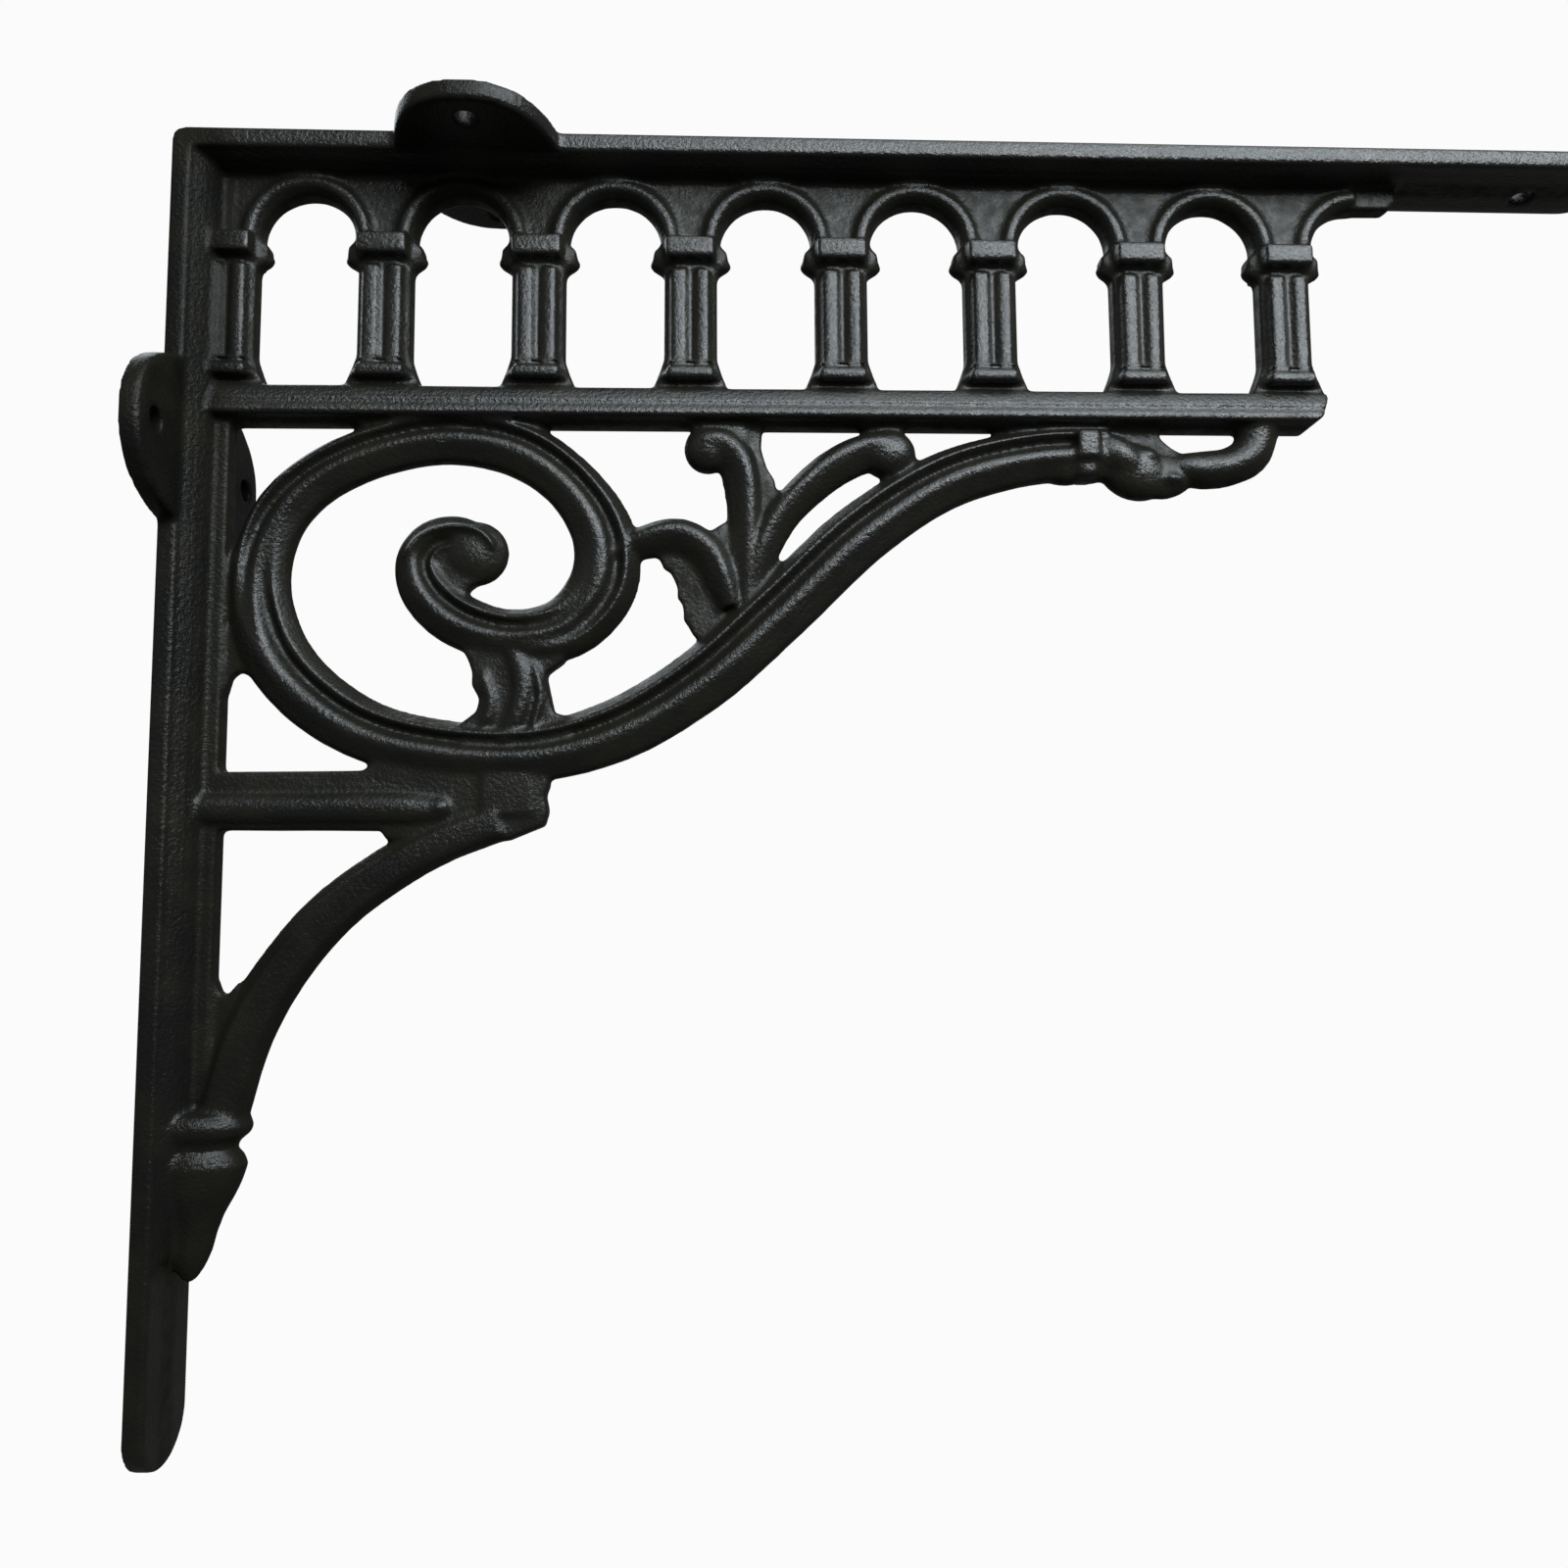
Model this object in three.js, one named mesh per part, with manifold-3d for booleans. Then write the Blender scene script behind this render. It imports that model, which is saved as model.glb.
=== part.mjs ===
import * as THREE from 'three';
import { mergeVertices } from 'three/addons/utils/BufferGeometryUtils.js';
import Module from 'manifold-3d';

// Cast iron shelf bracket: a wall leg and a shelf arm joined by a pierced arcade and scrollwork.
// All sizes are in millimetres. X runs out from the wall, Y across the bracket and Z up.

// Leg and arm
const ARM_LENGTH = 350;
const LEG_LENGTH = 300;
const FLANGE_WIDTH = 20.6;
const FLANGE_THICKNESS = 4.8;
const LEG_CROWN_HEIGHT = 4.9;
const ARM_CROWN_HEIGHT = 2.9;
const CROWN_FLAT = 6;
const LEG_CROWN_LENGTH = 258;
const ARM_CROWN_LENGTH = 294;
const CORNER_RADIUS = 3;

// Screw lugs, measured from the middle of the flange to the tip of each lobe
const LUG_WIDTH = 39.6;
const LUG_NEAR_REACH = 28.3;
const ARM_LUG_FAR_REACH = 24.6;
const WALL_LUG_FAR_REACH = 33.4;
const ARM_LUG_FROM_WALL = 69.5;
const WALL_LUG_FROM_TOP = 74;
const LUG_HOLE_FROM_TIP = 7.8;
const SCREW_HOLE = 5;
const ARM_HOLE_FROM_WALL = 327;
const ARM_HOLE_OFFSET = 3;

// Arcade
const ARCH_PITCH = 36;
const ARCH_COUNT = 7;
const FIRST_ARCH_FROM_WALL = 28.7;
const ARCH_RADIUS = 10.7;
const ARCH_CENTRE_DROP = 22.3;
const ARCH_SEGMENTS = 8;
const ARCHIVOLT_WIDTH = 5;
const ARCHIVOLT_RELIEF = 4.1;
const PANEL_THICKNESS = 5;
const STUB_LENGTH = 11;
const STUB_RISE = 2.2;
const SHAFT_WIDTH = 13;
const SHAFT_RELIEF = 4.1;
const SHAFT_TOP_DROP = 28.4;
const SHAFT_FOOT_DROP = 50.8;
const CAPITAL_WIDTH = 18.6;
const CAPITAL_DROP = 23.4;
const CAPITAL_HEIGHT = 5.6;
const CAPITAL_RELIEF = 4.6;
const PLINTH_WIDTH = 16.4;
const PLINTH_HEIGHT = 4.4;
const PLINTH_DROP = 54;
const PLINTH_RELIEF = 4.7;

// Rail under the arcade
const RAIL_TOP_DROP = 57.8;
const RAIL_HEIGHT = 9.6;
const RAIL_RELIEF = 5.3;
const RAIL_OVERHANG = 8.8;

// Scrollwork, drawn on a square grid with its corner at the wall face and the shelf face
const GRID = 10.29;
const STRAND_WIDTH = 13.6;
const STRAND_RELIEF = 4.6;
const STEM_WIDTH = 9.2;
const STEM_RELIEF = 4;
const BRACE_WIDTH = 11.2;
const LEG_STRIP_WIDTH = 12.3;
const LEG_STRIP_LENGTH = 222;
const WEB_THICKNESS = 5.6;
const THIN_WEB_THICKNESS = 2.4;
const FINIAL_AXIS = 8.6;
const FINIAL_FLATNESS = 0.42;

// How far a cutting shape runs past the iron that it cuts
const CUT_MARGIN = 2;

const wasm = await Module();
wasm.setup();

// A closed solid from a three.js geometry
function solid(geometry) {
  const bare = geometry.clone();
  bare.deleteAttribute('normal');
  bare.deleteAttribute('uv');
  const merged = mergeVertices(bare, 1e-4);
  const mesh = new wasm.Mesh({
    numProp: 3,
    vertProperties: new Float32Array(merged.getAttribute('position').array),
    triVerts: new Uint32Array(merged.index.array),
  });
  return new wasm.Manifold(mesh);
}

function vector(x, y, z) {
  return new THREE.Vector3(x, y, z);
}

function placed(geometry, alongX, alongY, alongZ) {
  return geometry.applyMatrix4(new THREE.Matrix4().makeBasis(alongX, alongY, alongZ));
}

function outline(points) {
  return new THREE.Shape(points.map(([x, y]) => new THREE.Vector2(x, y)));
}

// A flat plate standing in the plane of the web, centred on it
function plate(shape, thickness) {
  const geometry = new THREE.ExtrudeGeometry(shape, {
    depth: thickness,
    bevelEnabled: false,
    curveSegments: 10,
  });
  geometry.translate(0, 0, -thickness / 2);
  return solid(placed(geometry, vector(1, 0, 0), vector(0, 0, 1), vector(0, -1, 0)));
}

// A plate whose faces are smaller than its middle, as cast ornament is
function pillow(width, height, relief, slope) {
  const inner = outline([
    [-width / 2 + slope, -height / 2 + slope],
    [width / 2 - slope, -height / 2 + slope],
    [width / 2 - slope, height / 2 - slope],
    [-width / 2 + slope, height / 2 - slope],
  ]);
  const geometry = new THREE.ExtrudeGeometry(inner, {
    depth: relief * 0.8,
    bevelEnabled: true,
    bevelThickness: relief * 0.6,
    bevelSize: slope,
    bevelSegments: 1,
  });
  geometry.translate(0, 0, -relief * 0.4);
  return placed(geometry, vector(1, 0, 0), vector(0, 0, 1), vector(0, -1, 0));
}

// The half outline [across, relief] is mirrored to the far face
function section(half) {
  const back = half.slice(1, -1).reverse().map(([across, relief]) => [across, -relief]);
  return outline([...half, ...back].reverse());
}

// A bar of the given section bent along a path in the plane of the web. The middle coordinate
// of the path carries the width of the bar as a share of the width of the section. A gather
// over 1 draws the steps together towards the far end, where a path winds up tightly.
function bent(shape, path, steps, gather = 1) {
  const geometry = new THREE.ExtrudeGeometry(shape, { depth: 1, steps, bevelEnabled: false });
  const position = geometry.getAttribute('position');
  for (let i = 0; i < position.count; i += 1) {
    const share = 1 - THREE.MathUtils.clamp(1 - position.getZ(i), 0, 1) ** gather;
    const centre = path.getPointAt(share);
    const along = path.getTangentAt(share);
    const across = position.getX(i) * centre.y;
    const relief = -position.getY(i);
    position.setXYZ(i, centre.x - along.z * across, relief, centre.z + along.x * across);
  }
  return solid(geometry);
}

// A smooth path through points given as [out from the wall, down from the top, share of width],
// the first two in grid squares
function gridPath(points) {
  const places = points.map(([out, down, width = 1]) => vector(out * GRID, width, -down * GRID));
  return new THREE.CatmullRomCurve3(places, false, 'centripetal');
}

function gridOutline(points) {
  return outline(points.map(([out, down]) => [out * GRID, -down * GRID]));
}

function bulb(out, down, radiusOut, radiusDown, relief) {
  const ball = new THREE.SphereGeometry(1, 9, 6);
  ball.scale(radiusOut * GRID, relief, radiusDown * GRID);
  ball.translate(out * GRID, 0, -down * GRID);
  return solid(ball);
}

function joined(solids) {
  return solids.reduce((whole, piece) => whole.add(piece));
}

// Leg and arm share one layout: u runs along the flange, v across it and w off its outer face
const legAxes = [vector(0, 0, -1), vector(0, 1, 0), vector(1, 0, 0)];
const armAxes = [vector(1, 0, 0), vector(0, -1, 0), vector(0, 0, -1)];

function flange(length, axes) {
  const half = FLANGE_WIDTH / 2;
  const shape = new THREE.Shape();
  shape.moveTo(0, -half);
  shape.lineTo(length - half, -half);
  shape.absarc(length - half, 0, half, -Math.PI / 2, Math.PI / 2, false);
  shape.lineTo(0, half);
  shape.closePath();
  const geometry = new THREE.ExtrudeGeometry(shape, {
    depth: FLANGE_THICKNESS,
    bevelEnabled: false,
    curveSegments: 12,
  });
  return solid(placed(geometry, ...axes));
}

// The low mound that thickens a flange towards the web and dies away at its end
function crown(length, height, axes) {
  const foot = FLANGE_WIDTH / 2 - 0.6;
  const shape = outline([
    [-foot, -0.5],
    [foot, -0.5],
    [(foot + CROWN_FLAT / 2) / 2, height * 0.62],
    [CROWN_FLAT / 2, height],
    [-CROWN_FLAT / 2, height],
    [-(foot + CROWN_FLAT / 2) / 2, height * 0.62],
  ]);
  const geometry = new THREE.ExtrudeGeometry(shape, { depth: 1, steps: 5, bevelEnabled: false });
  const position = geometry.getAttribute('position');
  for (let i = 0; i < position.count; i += 1) {
    const share = 1 - (1 - position.getZ(i)) ** 3;
    const fade = 1 - 0.85 * THREE.MathUtils.smoothstep(share, 0.9, 1);
    const rise = position.getY(i) * fade;
    position.setXYZ(i, share * length, position.getX(i), rise + FLANGE_THICKNESS);
  }
  return solid(placed(geometry, ...axes));
}

// Two rounded lobes in one piece with the flange, with a screw hole in each
function lug(centre, reachMinus, reachPlus, axes) {
  const points = [];
  const segments = 20;
  for (let i = 0; i < segments; i += 1) {
    const angle = (i / segments) * Math.PI * 2;
    const reach = Math.sin(angle) < 0 ? reachMinus : reachPlus;
    const squareness = 0.86;
    const u = Math.sign(Math.cos(angle)) * Math.abs(Math.cos(angle)) ** squareness;
    const v = Math.sign(Math.sin(angle)) * Math.abs(Math.sin(angle)) ** squareness;
    points.push([centre + (u * LUG_WIDTH) / 2, v * reach]);
  }
  const geometry = new THREE.ExtrudeGeometry(outline(points), {
    depth: FLANGE_THICKNESS,
    bevelEnabled: false,
  });
  return solid(placed(geometry, ...axes));
}

function screwHole(u, v, axes) {
  const shape = new THREE.Shape();
  shape.absarc(u, v, SCREW_HOLE / 2, 0, Math.PI * 2, false);
  const geometry = new THREE.ExtrudeGeometry(shape, {
    depth: FLANGE_THICKNESS + LEG_CROWN_HEIGHT + 2 * CUT_MARGIN,
    bevelEnabled: false,
    curveSegments: 6,
  });
  geometry.translate(0, 0, -CUT_MARGIN);
  return solid(placed(geometry, ...axes));
}

function cornerCut() {
  const shape = new THREE.Shape();
  shape.moveTo(-CUT_MARGIN, CUT_MARGIN);
  shape.lineTo(-CUT_MARGIN, -CORNER_RADIUS);
  shape.lineTo(0, -CORNER_RADIUS);
  shape.absarc(CORNER_RADIUS, -CORNER_RADIUS, CORNER_RADIUS, Math.PI, Math.PI / 2, true);
  shape.lineTo(CORNER_RADIUS, CUT_MARGIN);
  shape.closePath();
  return plate(shape, FLANGE_WIDTH + 2 * CUT_MARGIN);
}

function archCentre(index) {
  return FIRST_ARCH_FROM_WALL + index * ARCH_PITCH;
}

// The gap between two columns: feet, shafts, capitals and the round arch above
function archOpening(index) {
  const centre = archCentre(index);
  const neck = ARCH_PITCH / 2 - ARCH_RADIUS;
  const levels = [
    [RAIL_TOP_DROP, SHAFT_WIDTH / 2 + 2.7],
    [(RAIL_TOP_DROP + SHAFT_FOOT_DROP) / 2, SHAFT_WIDTH / 2 + 1.2],
    [SHAFT_FOOT_DROP, SHAFT_WIDTH / 2],
    [SHAFT_TOP_DROP + 1.4, SHAFT_WIDTH / 2],
    [SHAFT_TOP_DROP - 1, CAPITAL_WIDTH / 2 - 1.2],
    [SHAFT_TOP_DROP - 3, CAPITAL_WIDTH / 2],
    [SHAFT_TOP_DROP - 4.4, CAPITAL_WIDTH / 2 - 0.3],
    [ARCH_CENTRE_DROP, neck],
  ];
  const side = levels.map(([drop, half]) => [ARCH_PITCH / 2 - half, -drop]);
  const arc = [];
  for (let i = 1; i < ARCH_SEGMENTS; i += 1) {
    const angle = (i / ARCH_SEGMENTS) * Math.PI;
    arc.push([
      ARCH_RADIUS * Math.cos(angle),
      -ARCH_CENTRE_DROP + ARCH_RADIUS * Math.sin(angle),
    ]);
  }
  const mirrored = side.map(([x, z]) => [-x, z]).reverse();
  const points = [...side, ...arc, ...mirrored].map(([x, z]) => [centre + x, z]);
  return plate(outline(points), PANEL_THICKNESS + 2 * CUT_MARGIN);
}

function archivolt(index, sweep) {
  const shape = section([
    [-ARCHIVOLT_WIDTH * 0.5, 0],
    [-ARCHIVOLT_WIDTH * 0.26, ARCHIVOLT_RELIEF * 0.88],
    [ARCHIVOLT_WIDTH * 0.1, ARCHIVOLT_RELIEF],
    [ARCHIVOLT_WIDTH * 0.62, 0],
  ]);
  const radius = ARCH_RADIUS + ARCHIVOLT_WIDTH / 2;
  const centre = archCentre(index);
  const steps = Math.round((sweep / Math.PI) * ARCH_SEGMENTS);
  const points = [];
  for (let i = 0; i <= steps; i += 1) {
    const angle = Math.PI - (i / steps) * sweep;
    points.push(vector(
      centre + radius * Math.cos(angle),
      1,
      -ARCH_CENTRE_DROP + radius * Math.sin(angle),
    ));
  }
  return bent(shape, new THREE.CatmullRomCurve3(points), steps);
}

// One column in relief: a shaft of two reeds, a capital block and a plinth
function column(centre) {
  const reed = SHAFT_WIDTH / 2;
  const shape = section([
    [-reed + 0.4, 0],
    [-reed * 0.62, SHAFT_RELIEF],
    [0, SHAFT_RELIEF * 0.75],
    [reed * 0.62, SHAFT_RELIEF],
    [reed - 0.4, 0],
  ]);
  const path = new THREE.LineCurve3(
    vector(centre, 1, -PLINTH_DROP),
    vector(centre, 1, -CAPITAL_DROP),
  );
  const shaft = bent(shape, path, 1);
  const capital = pillow(CAPITAL_WIDTH - 0.6, CAPITAL_HEIGHT, CAPITAL_RELIEF, 2.2);
  capital.translate(centre, 0, -CAPITAL_DROP);
  const plinth = pillow(PLINTH_WIDTH, PLINTH_HEIGHT, PLINTH_RELIEF, 1.6);
  plinth.translate(centre, 0, -PLINTH_DROP);
  return joined([shaft, solid(capital), solid(plinth)]);
}

function arcade() {
  const end = archCentre(ARCH_COUNT);
  const top = FLANGE_THICKNESS / 2;
  const railEnd = end - ARCH_PITCH / 2 + RAIL_OVERHANG;
  const sheet = plate(outline([
    [FLANGE_THICKNESS, -RAIL_TOP_DROP - 3],
    [railEnd - 1, -RAIL_TOP_DROP - 3],
    [railEnd - 1, -RAIL_TOP_DROP + 2],
    [end, -RAIL_TOP_DROP + 2],
    [end, -ARCH_CENTRE_DROP + ARCH_RADIUS],
    [end + STUB_LENGTH - STUB_RISE, -ARCH_CENTRE_DROP + ARCH_RADIUS + 0.3],
    [end + STUB_LENGTH, -ARCH_CENTRE_DROP + ARCH_RADIUS + STUB_RISE],
    [end + STUB_LENGTH, -top],
    [FLANGE_THICKNESS, -top],
  ]), PANEL_THICKNESS);
  let pierced = sheet;
  for (let i = 0; i <= ARCH_COUNT; i += 1) {
    pierced = pierced.subtract(archOpening(i));
  }
  const relief = [];
  for (let i = 0; i < ARCH_COUNT; i += 1) {
    relief.push(archivolt(i, Math.PI));
    relief.push(column(archCentre(i) + ARCH_PITCH / 2));
  }
  relief.push(archivolt(ARCH_COUNT, Math.PI / 2));
  relief.push(column(FIRST_ARCH_FROM_WALL - ARCH_PITCH / 2));
  return joined([pierced, ...relief]);
}

// The moulded rail: a sloped top, a fillet, a flat fascia and an undercut
function rail() {
  const end = archCentre(ARCH_COUNT - 1) + ARCH_PITCH / 2 + RAIL_OVERHANG;
  const h = RAIL_HEIGHT;
  const shape = section([
    [0, 0],
    [0.2, RAIL_RELIEF * 0.5],
    [h * 0.15, RAIL_RELIEF * 0.66],
    [h * 0.26, RAIL_RELIEF * 0.86],
    [h * 0.44, RAIL_RELIEF * 0.9],
    [h * 0.5, RAIL_RELIEF],
    [h * 0.72, RAIL_RELIEF],
    [h * 0.9, RAIL_RELIEF * 0.66],
    [h, RAIL_RELIEF * 0.42],
    [h + 0.01, 0],
  ]);
  const path = new THREE.LineCurve3(
    vector(end, 1, -RAIL_TOP_DROP),
    vector(FLANGE_THICKNESS, 1, -RAIL_TOP_DROP),
  );
  const cut = plate(outline([
    [end - 5.5, -RAIL_TOP_DROP - RAIL_HEIGHT - CUT_MARGIN],
    [end - 4.5, -RAIL_TOP_DROP - RAIL_HEIGHT * 0.97],
    [end - 2.4, -RAIL_TOP_DROP - RAIL_HEIGHT * 0.84],
    [end - 0.4, -RAIL_TOP_DROP - RAIL_HEIGHT * 0.46],
    [end, -RAIL_TOP_DROP + CUT_MARGIN],
    [end + CUT_MARGIN, -RAIL_TOP_DROP + CUT_MARGIN],
    [end + CUT_MARGIN, -RAIL_TOP_DROP - RAIL_HEIGHT - CUT_MARGIN],
  ]), 2 * (RAIL_RELIEF + CUT_MARGIN));
  return bent(shape, path, 1).subtract(cut);
}

// The strand that sweeps from the knot down the brace, round the great ring and into the curl
function strand() {
  const half = STRAND_WIDTH / 2;
  const shape = section([
    [-half, 0],
    [-half * 0.68, STRAND_RELIEF * 0.7],
    [-half * 0.48, STRAND_RELIEF * 0.7],
    [-half * 0.3, STRAND_RELIEF * 0.46],
    [-half * 0.04, STRAND_RELIEF * 0.95],
    [half * 0.48, STRAND_RELIEF * 0.95],
    [half, 0],
  ]);
  const brace = [
    [21.2, 7.05], [19.5, 7.13], [17.5, 7.66, 1.05], [15.5, 8.92, 1.12], [13.5, 10.8, 1.15],
    [11.8, 12.34, 1.13], [10, 13.45, 1.1], [8.2, 13.98, 1.04],
  ];
  const ring = [
    [6.2, 13.95], [4.3, 13.5, 1.06], [2.95, 12.6, 1.12], [2.2, 11.6, 1.14], [1.88, 10.1, 1.04],
    [2.22, 8.7, 0.98], [3.04, 7.77, 0.94], [4.45, 7.07, 0.93], [6.1, 6.77, 0.95], [7.7, 7.07],
  ];
  const curl = [
    [8.9, 7.95], [9.57, 9.1, 1.12], [9.55, 10.2, 1.2], [8.75, 11.16, 1.12], [7.5, 11.36, 0.94],
    [6.25, 10.97, 0.96], [5.5, 10.22, 0.9], [5.38, 9.5, 0.82], [5.75, 8.98, 0.78],
    [6.35, 8.86, 0.72], [6.8, 9.15, 0.6],
  ];
  return bent(shape, gridPath([...brace, ...ring, ...curl]), 52, 1.5);
}

// Stems that spring from the brace and carry the rail, with their bulbs and the thin torn web
function stems() {
  const half = STEM_WIDTH / 2;
  const shape = section([
    [-half, 0],
    [-half * 0.7, STEM_RELIEF * 0.7],
    [-half * 0.2, STEM_RELIEF],
    [half * 0.2, STEM_RELIEF],
    [half * 0.7, STEM_RELIEF * 0.7],
    [half, 0],
  ]);
  const paths = [
    [[9.9, 9.35], [10.5, 9.12], [11.3, 9.05], [11.95, 9.5], [12.3, 10.3], [12.6, 11.2]],
    [[12.8, 11.2], [12.78, 9.6], [12.72, 8.3], [12.5, 7.3, 1.1], [12.2, 6.4, 1.6]],
    [[12.95, 10.9, 0.7], [13.15, 9.6, 0.9], [13.75, 8.25], [14.75, 7.3, 1.05], [16, 6.95, 1.1]],
    [[22.8, 7.4], [23.8, 7.45], [24.6, 7.25], [25, 6.8], [25.05, 6.3]],
  ];
  const bars = paths.map((points) => bent(shape, gridPath(points), 7));
  const tornWeb = plate(gridOutline([
    [10.7, 9.4], [10.95, 9.8], [11.15, 10], [11.3, 10.55], [11.4, 11.05], [11.6, 11.35],
    [12.3, 11.4], [12.2, 9.6], [11.4, 9.1],
  ]), THIN_WEB_THICKNESS);
  return joined([
    ...bars,
    tornWeb,
    bulb(12.05, 7.05, 0.66, 0.56, STEM_RELIEF + 0.4),
    bulb(16.15, 7.1, 0.68, 0.6, STEM_RELIEF + 0.6),
  ]);
}

// The collar round the brace and the bud that hangs under the rail
function knot() {
  const collar = pillow(7, 12, STRAND_RELIEF + 0.9, 1.4);
  collar.translate(20.75 * GRID, 0, -7.08 * GRID);
  return joined([
    solid(collar),
    bulb(21.9, 7.3, 0.98, 0.84, STRAND_RELIEF + 1),
    bulb(22.5, 7.45, 0.88, 0.72, STRAND_RELIEF + 0.4),
  ]);
}

// The curled leaf that ties the inner curl to the bottom of the ring
function leaf() {
  return joined([
    plate(gridOutline([
      [6.4, 11.6], [6.6, 12], [6.55, 12.35], [6.7, 12.9], [6.4, 13.4], [8.7, 13.4],
      [8.42, 12.95], [8.38, 12.55], [8.22, 12.1], [8.5, 11.6],
    ]), STRAND_RELIEF * 1.3),
    bulb(7.15, 12.4, 0.42, 0.62, STRAND_RELIEF * 0.92),
    bulb(7.95, 12.4, 0.3, 0.72, STRAND_RELIEF * 0.85),
    bulb(6.72, 9.25, 0.74, 0.76, STRAND_RELIEF * 0.95),
  ]);
}

// The bar below the ring, its rounded rib and the squared block at its end
function lowerBar() {
  const rib = new THREE.CapsuleGeometry(0.36 * GRID, 5.2 * GRID, 3, 8);
  rib.rotateZ(Math.PI / 2);
  rib.scale(1, 1.25, 1);
  rib.translate(3.3 * GRID, 0, -15.3 * GRID);
  const web = plate(gridOutline([
    [0.5, 14.42], [4.3, 14.4], [4.9, 14], [8.1, 13.9], [8.42, 14.75], [8.33, 15],
    [8.4, 15.35], [8.3, 15.68], [7.5, 16], [6.4, 16.1], [4.8, 15.95], [4.7, 15.78],
    [0.5, 15.74],
  ]), WEB_THICKNESS);
  return joined([web, solid(rib)]);
}

function lowerBrace() {
  const half = BRACE_WIDTH / 2;
  const shape = section([
    [-half, 0],
    [-half * 0.55, STEM_RELIEF * 0.85],
    [half * 0.45, STEM_RELIEF * 0.95],
    [half, 0],
  ]);
  const path = gridPath([
    [7.3, 15.5, 0.94], [6, 15.98, 0.98], [4.9, 16.6], [3.65, 17.55, 1.04], [2.65, 18.75, 1.08],
    [1.88, 20.1, 1.16], [1.36, 21.8, 1.2],
  ]);
  return bent(shape, path, 10);
}

// Small webs left in the sharp corners where two bars meet
function cornerWebs() {
  const corners = [
    [[12.8, 6.4], [13.2, 6.4], [13.17, 7], [13.3, 7.45], [13.48, 7.72], [13.6, 8.4], [12.8, 9]],
    [[10.4, 8.72], [11.2, 8.52], [12.22, 8.7], [12.3, 9.6], [11.5, 9.2]],
    [[5.9, 9.8], [6.5, 10], [6.5, 10.22], [6.68, 10.45], [6.2, 10.6], [5.8, 10.2]],
    [[1, 11.2], [1.28, 12.7], [1.34, 12.36], [1.5, 12.22], [1.72, 12.3], [1.8, 11.2]],
    [[1, 18.9], [1.28, 19], [1.36, 19.26], [1.48, 19.28], [1.7, 19], [1.9, 19.8], [1, 20.6]],
    [[8, 12.8], [8.42, 12.9], [8.52, 13], [8.9, 13.02], [8.9, 13.4], [8, 13.4]],
  ];
  return joined(corners.map((points) => plate(gridOutline(points), WEB_THICKNESS)));
}

function legStrip() {
  return plate(outline([
    [FLANGE_THICKNESS / 2, -FLANGE_THICKNESS],
    [LEG_STRIP_WIDTH, -FLANGE_THICKNESS],
    [LEG_STRIP_WIDTH, -LEG_STRIP_LENGTH],
    [FLANGE_THICKNESS / 2, -LEG_STRIP_LENGTH],
  ]), WEB_THICKNESS);
}

// The turned drop that ends the web on the leg
function finial() {
  const profile = [
    [0, 21.2], [1.14, 21.3], [1.14, 21.75], [1.26, 22.05], [1.22, 22.3], [1.04, 22.6],
    [1.16, 23.1], [0.96, 23.5], [0.68, 24], [0.5, 24.7], [0.36, 25.05], [0, 25.42],
  ];
  const points = profile.map(([radius, down]) => new THREE.Vector2(radius * GRID, -down * GRID));
  const turned = new THREE.LatheGeometry(points.reverse(), 12);
  turned.rotateX(Math.PI / 2);
  turned.scale(1, FINIAL_FLATNESS, 1);
  turned.translate(FINIAL_AXIS, 0, 0);
  const wall = new THREE.BoxGeometry(40, 40, 2 * LEG_LENGTH);
  wall.translate(FLANGE_THICKNESS / 2 - 20, 0, -LEG_LENGTH);
  return solid(turned).subtract(solid(wall));
}

function casting() {
  const body = joined([
    flange(LEG_LENGTH, legAxes),
    flange(ARM_LENGTH, armAxes),
    crown(LEG_CROWN_LENGTH, LEG_CROWN_HEIGHT, legAxes),
    crown(ARM_CROWN_LENGTH, ARM_CROWN_HEIGHT, armAxes),
    lug(WALL_LUG_FROM_TOP, LUG_NEAR_REACH, WALL_LUG_FAR_REACH, legAxes),
    lug(ARM_LUG_FROM_WALL, ARM_LUG_FAR_REACH, LUG_NEAR_REACH, armAxes),
    arcade(),
    rail(),
    legStrip(),
    cornerWebs(),
    strand(),
    stems(),
    knot(),
    leaf(),
    lowerBar(),
    lowerBrace(),
    finial(),
  ]);
  const cuts = joined([
    cornerCut(),
    screwHole(WALL_LUG_FROM_TOP, LUG_HOLE_FROM_TIP - LUG_NEAR_REACH, legAxes),
    screwHole(WALL_LUG_FROM_TOP, WALL_LUG_FAR_REACH - LUG_HOLE_FROM_TIP, legAxes),
    screwHole(ARM_LUG_FROM_WALL, LUG_HOLE_FROM_TIP - ARM_LUG_FAR_REACH, armAxes),
    screwHole(ARM_LUG_FROM_WALL, LUG_NEAR_REACH - LUG_HOLE_FROM_TIP, armAxes),
    screwHole(ARM_HOLE_FROM_WALL, -ARM_HOLE_OFFSET, armAxes),
  ]);
  return body.subtract(cuts);
}

// The origin lies on the wall face between the screw holes of the wall lug
const cast = casting().getMesh();
const geometry = new THREE.BufferGeometry();
geometry.setAttribute('position', new THREE.BufferAttribute(cast.vertProperties, 3));
geometry.setIndex(new THREE.BufferAttribute(cast.triVerts, 1));
geometry.translate(0, 0, WALL_LUG_FROM_TOP);
geometry.computeVertexNormals();

const iron = new THREE.MeshStandardMaterial({ color: 0x23221f, metalness: 0.6, roughness: 0.55 });
const mesh = new THREE.Mesh(geometry, iron);
mesh.name = 'bracket_casting';

const bracket = new THREE.Group();
bracket.name = 'bracket';
bracket.add(mesh);

export default bracket;
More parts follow.
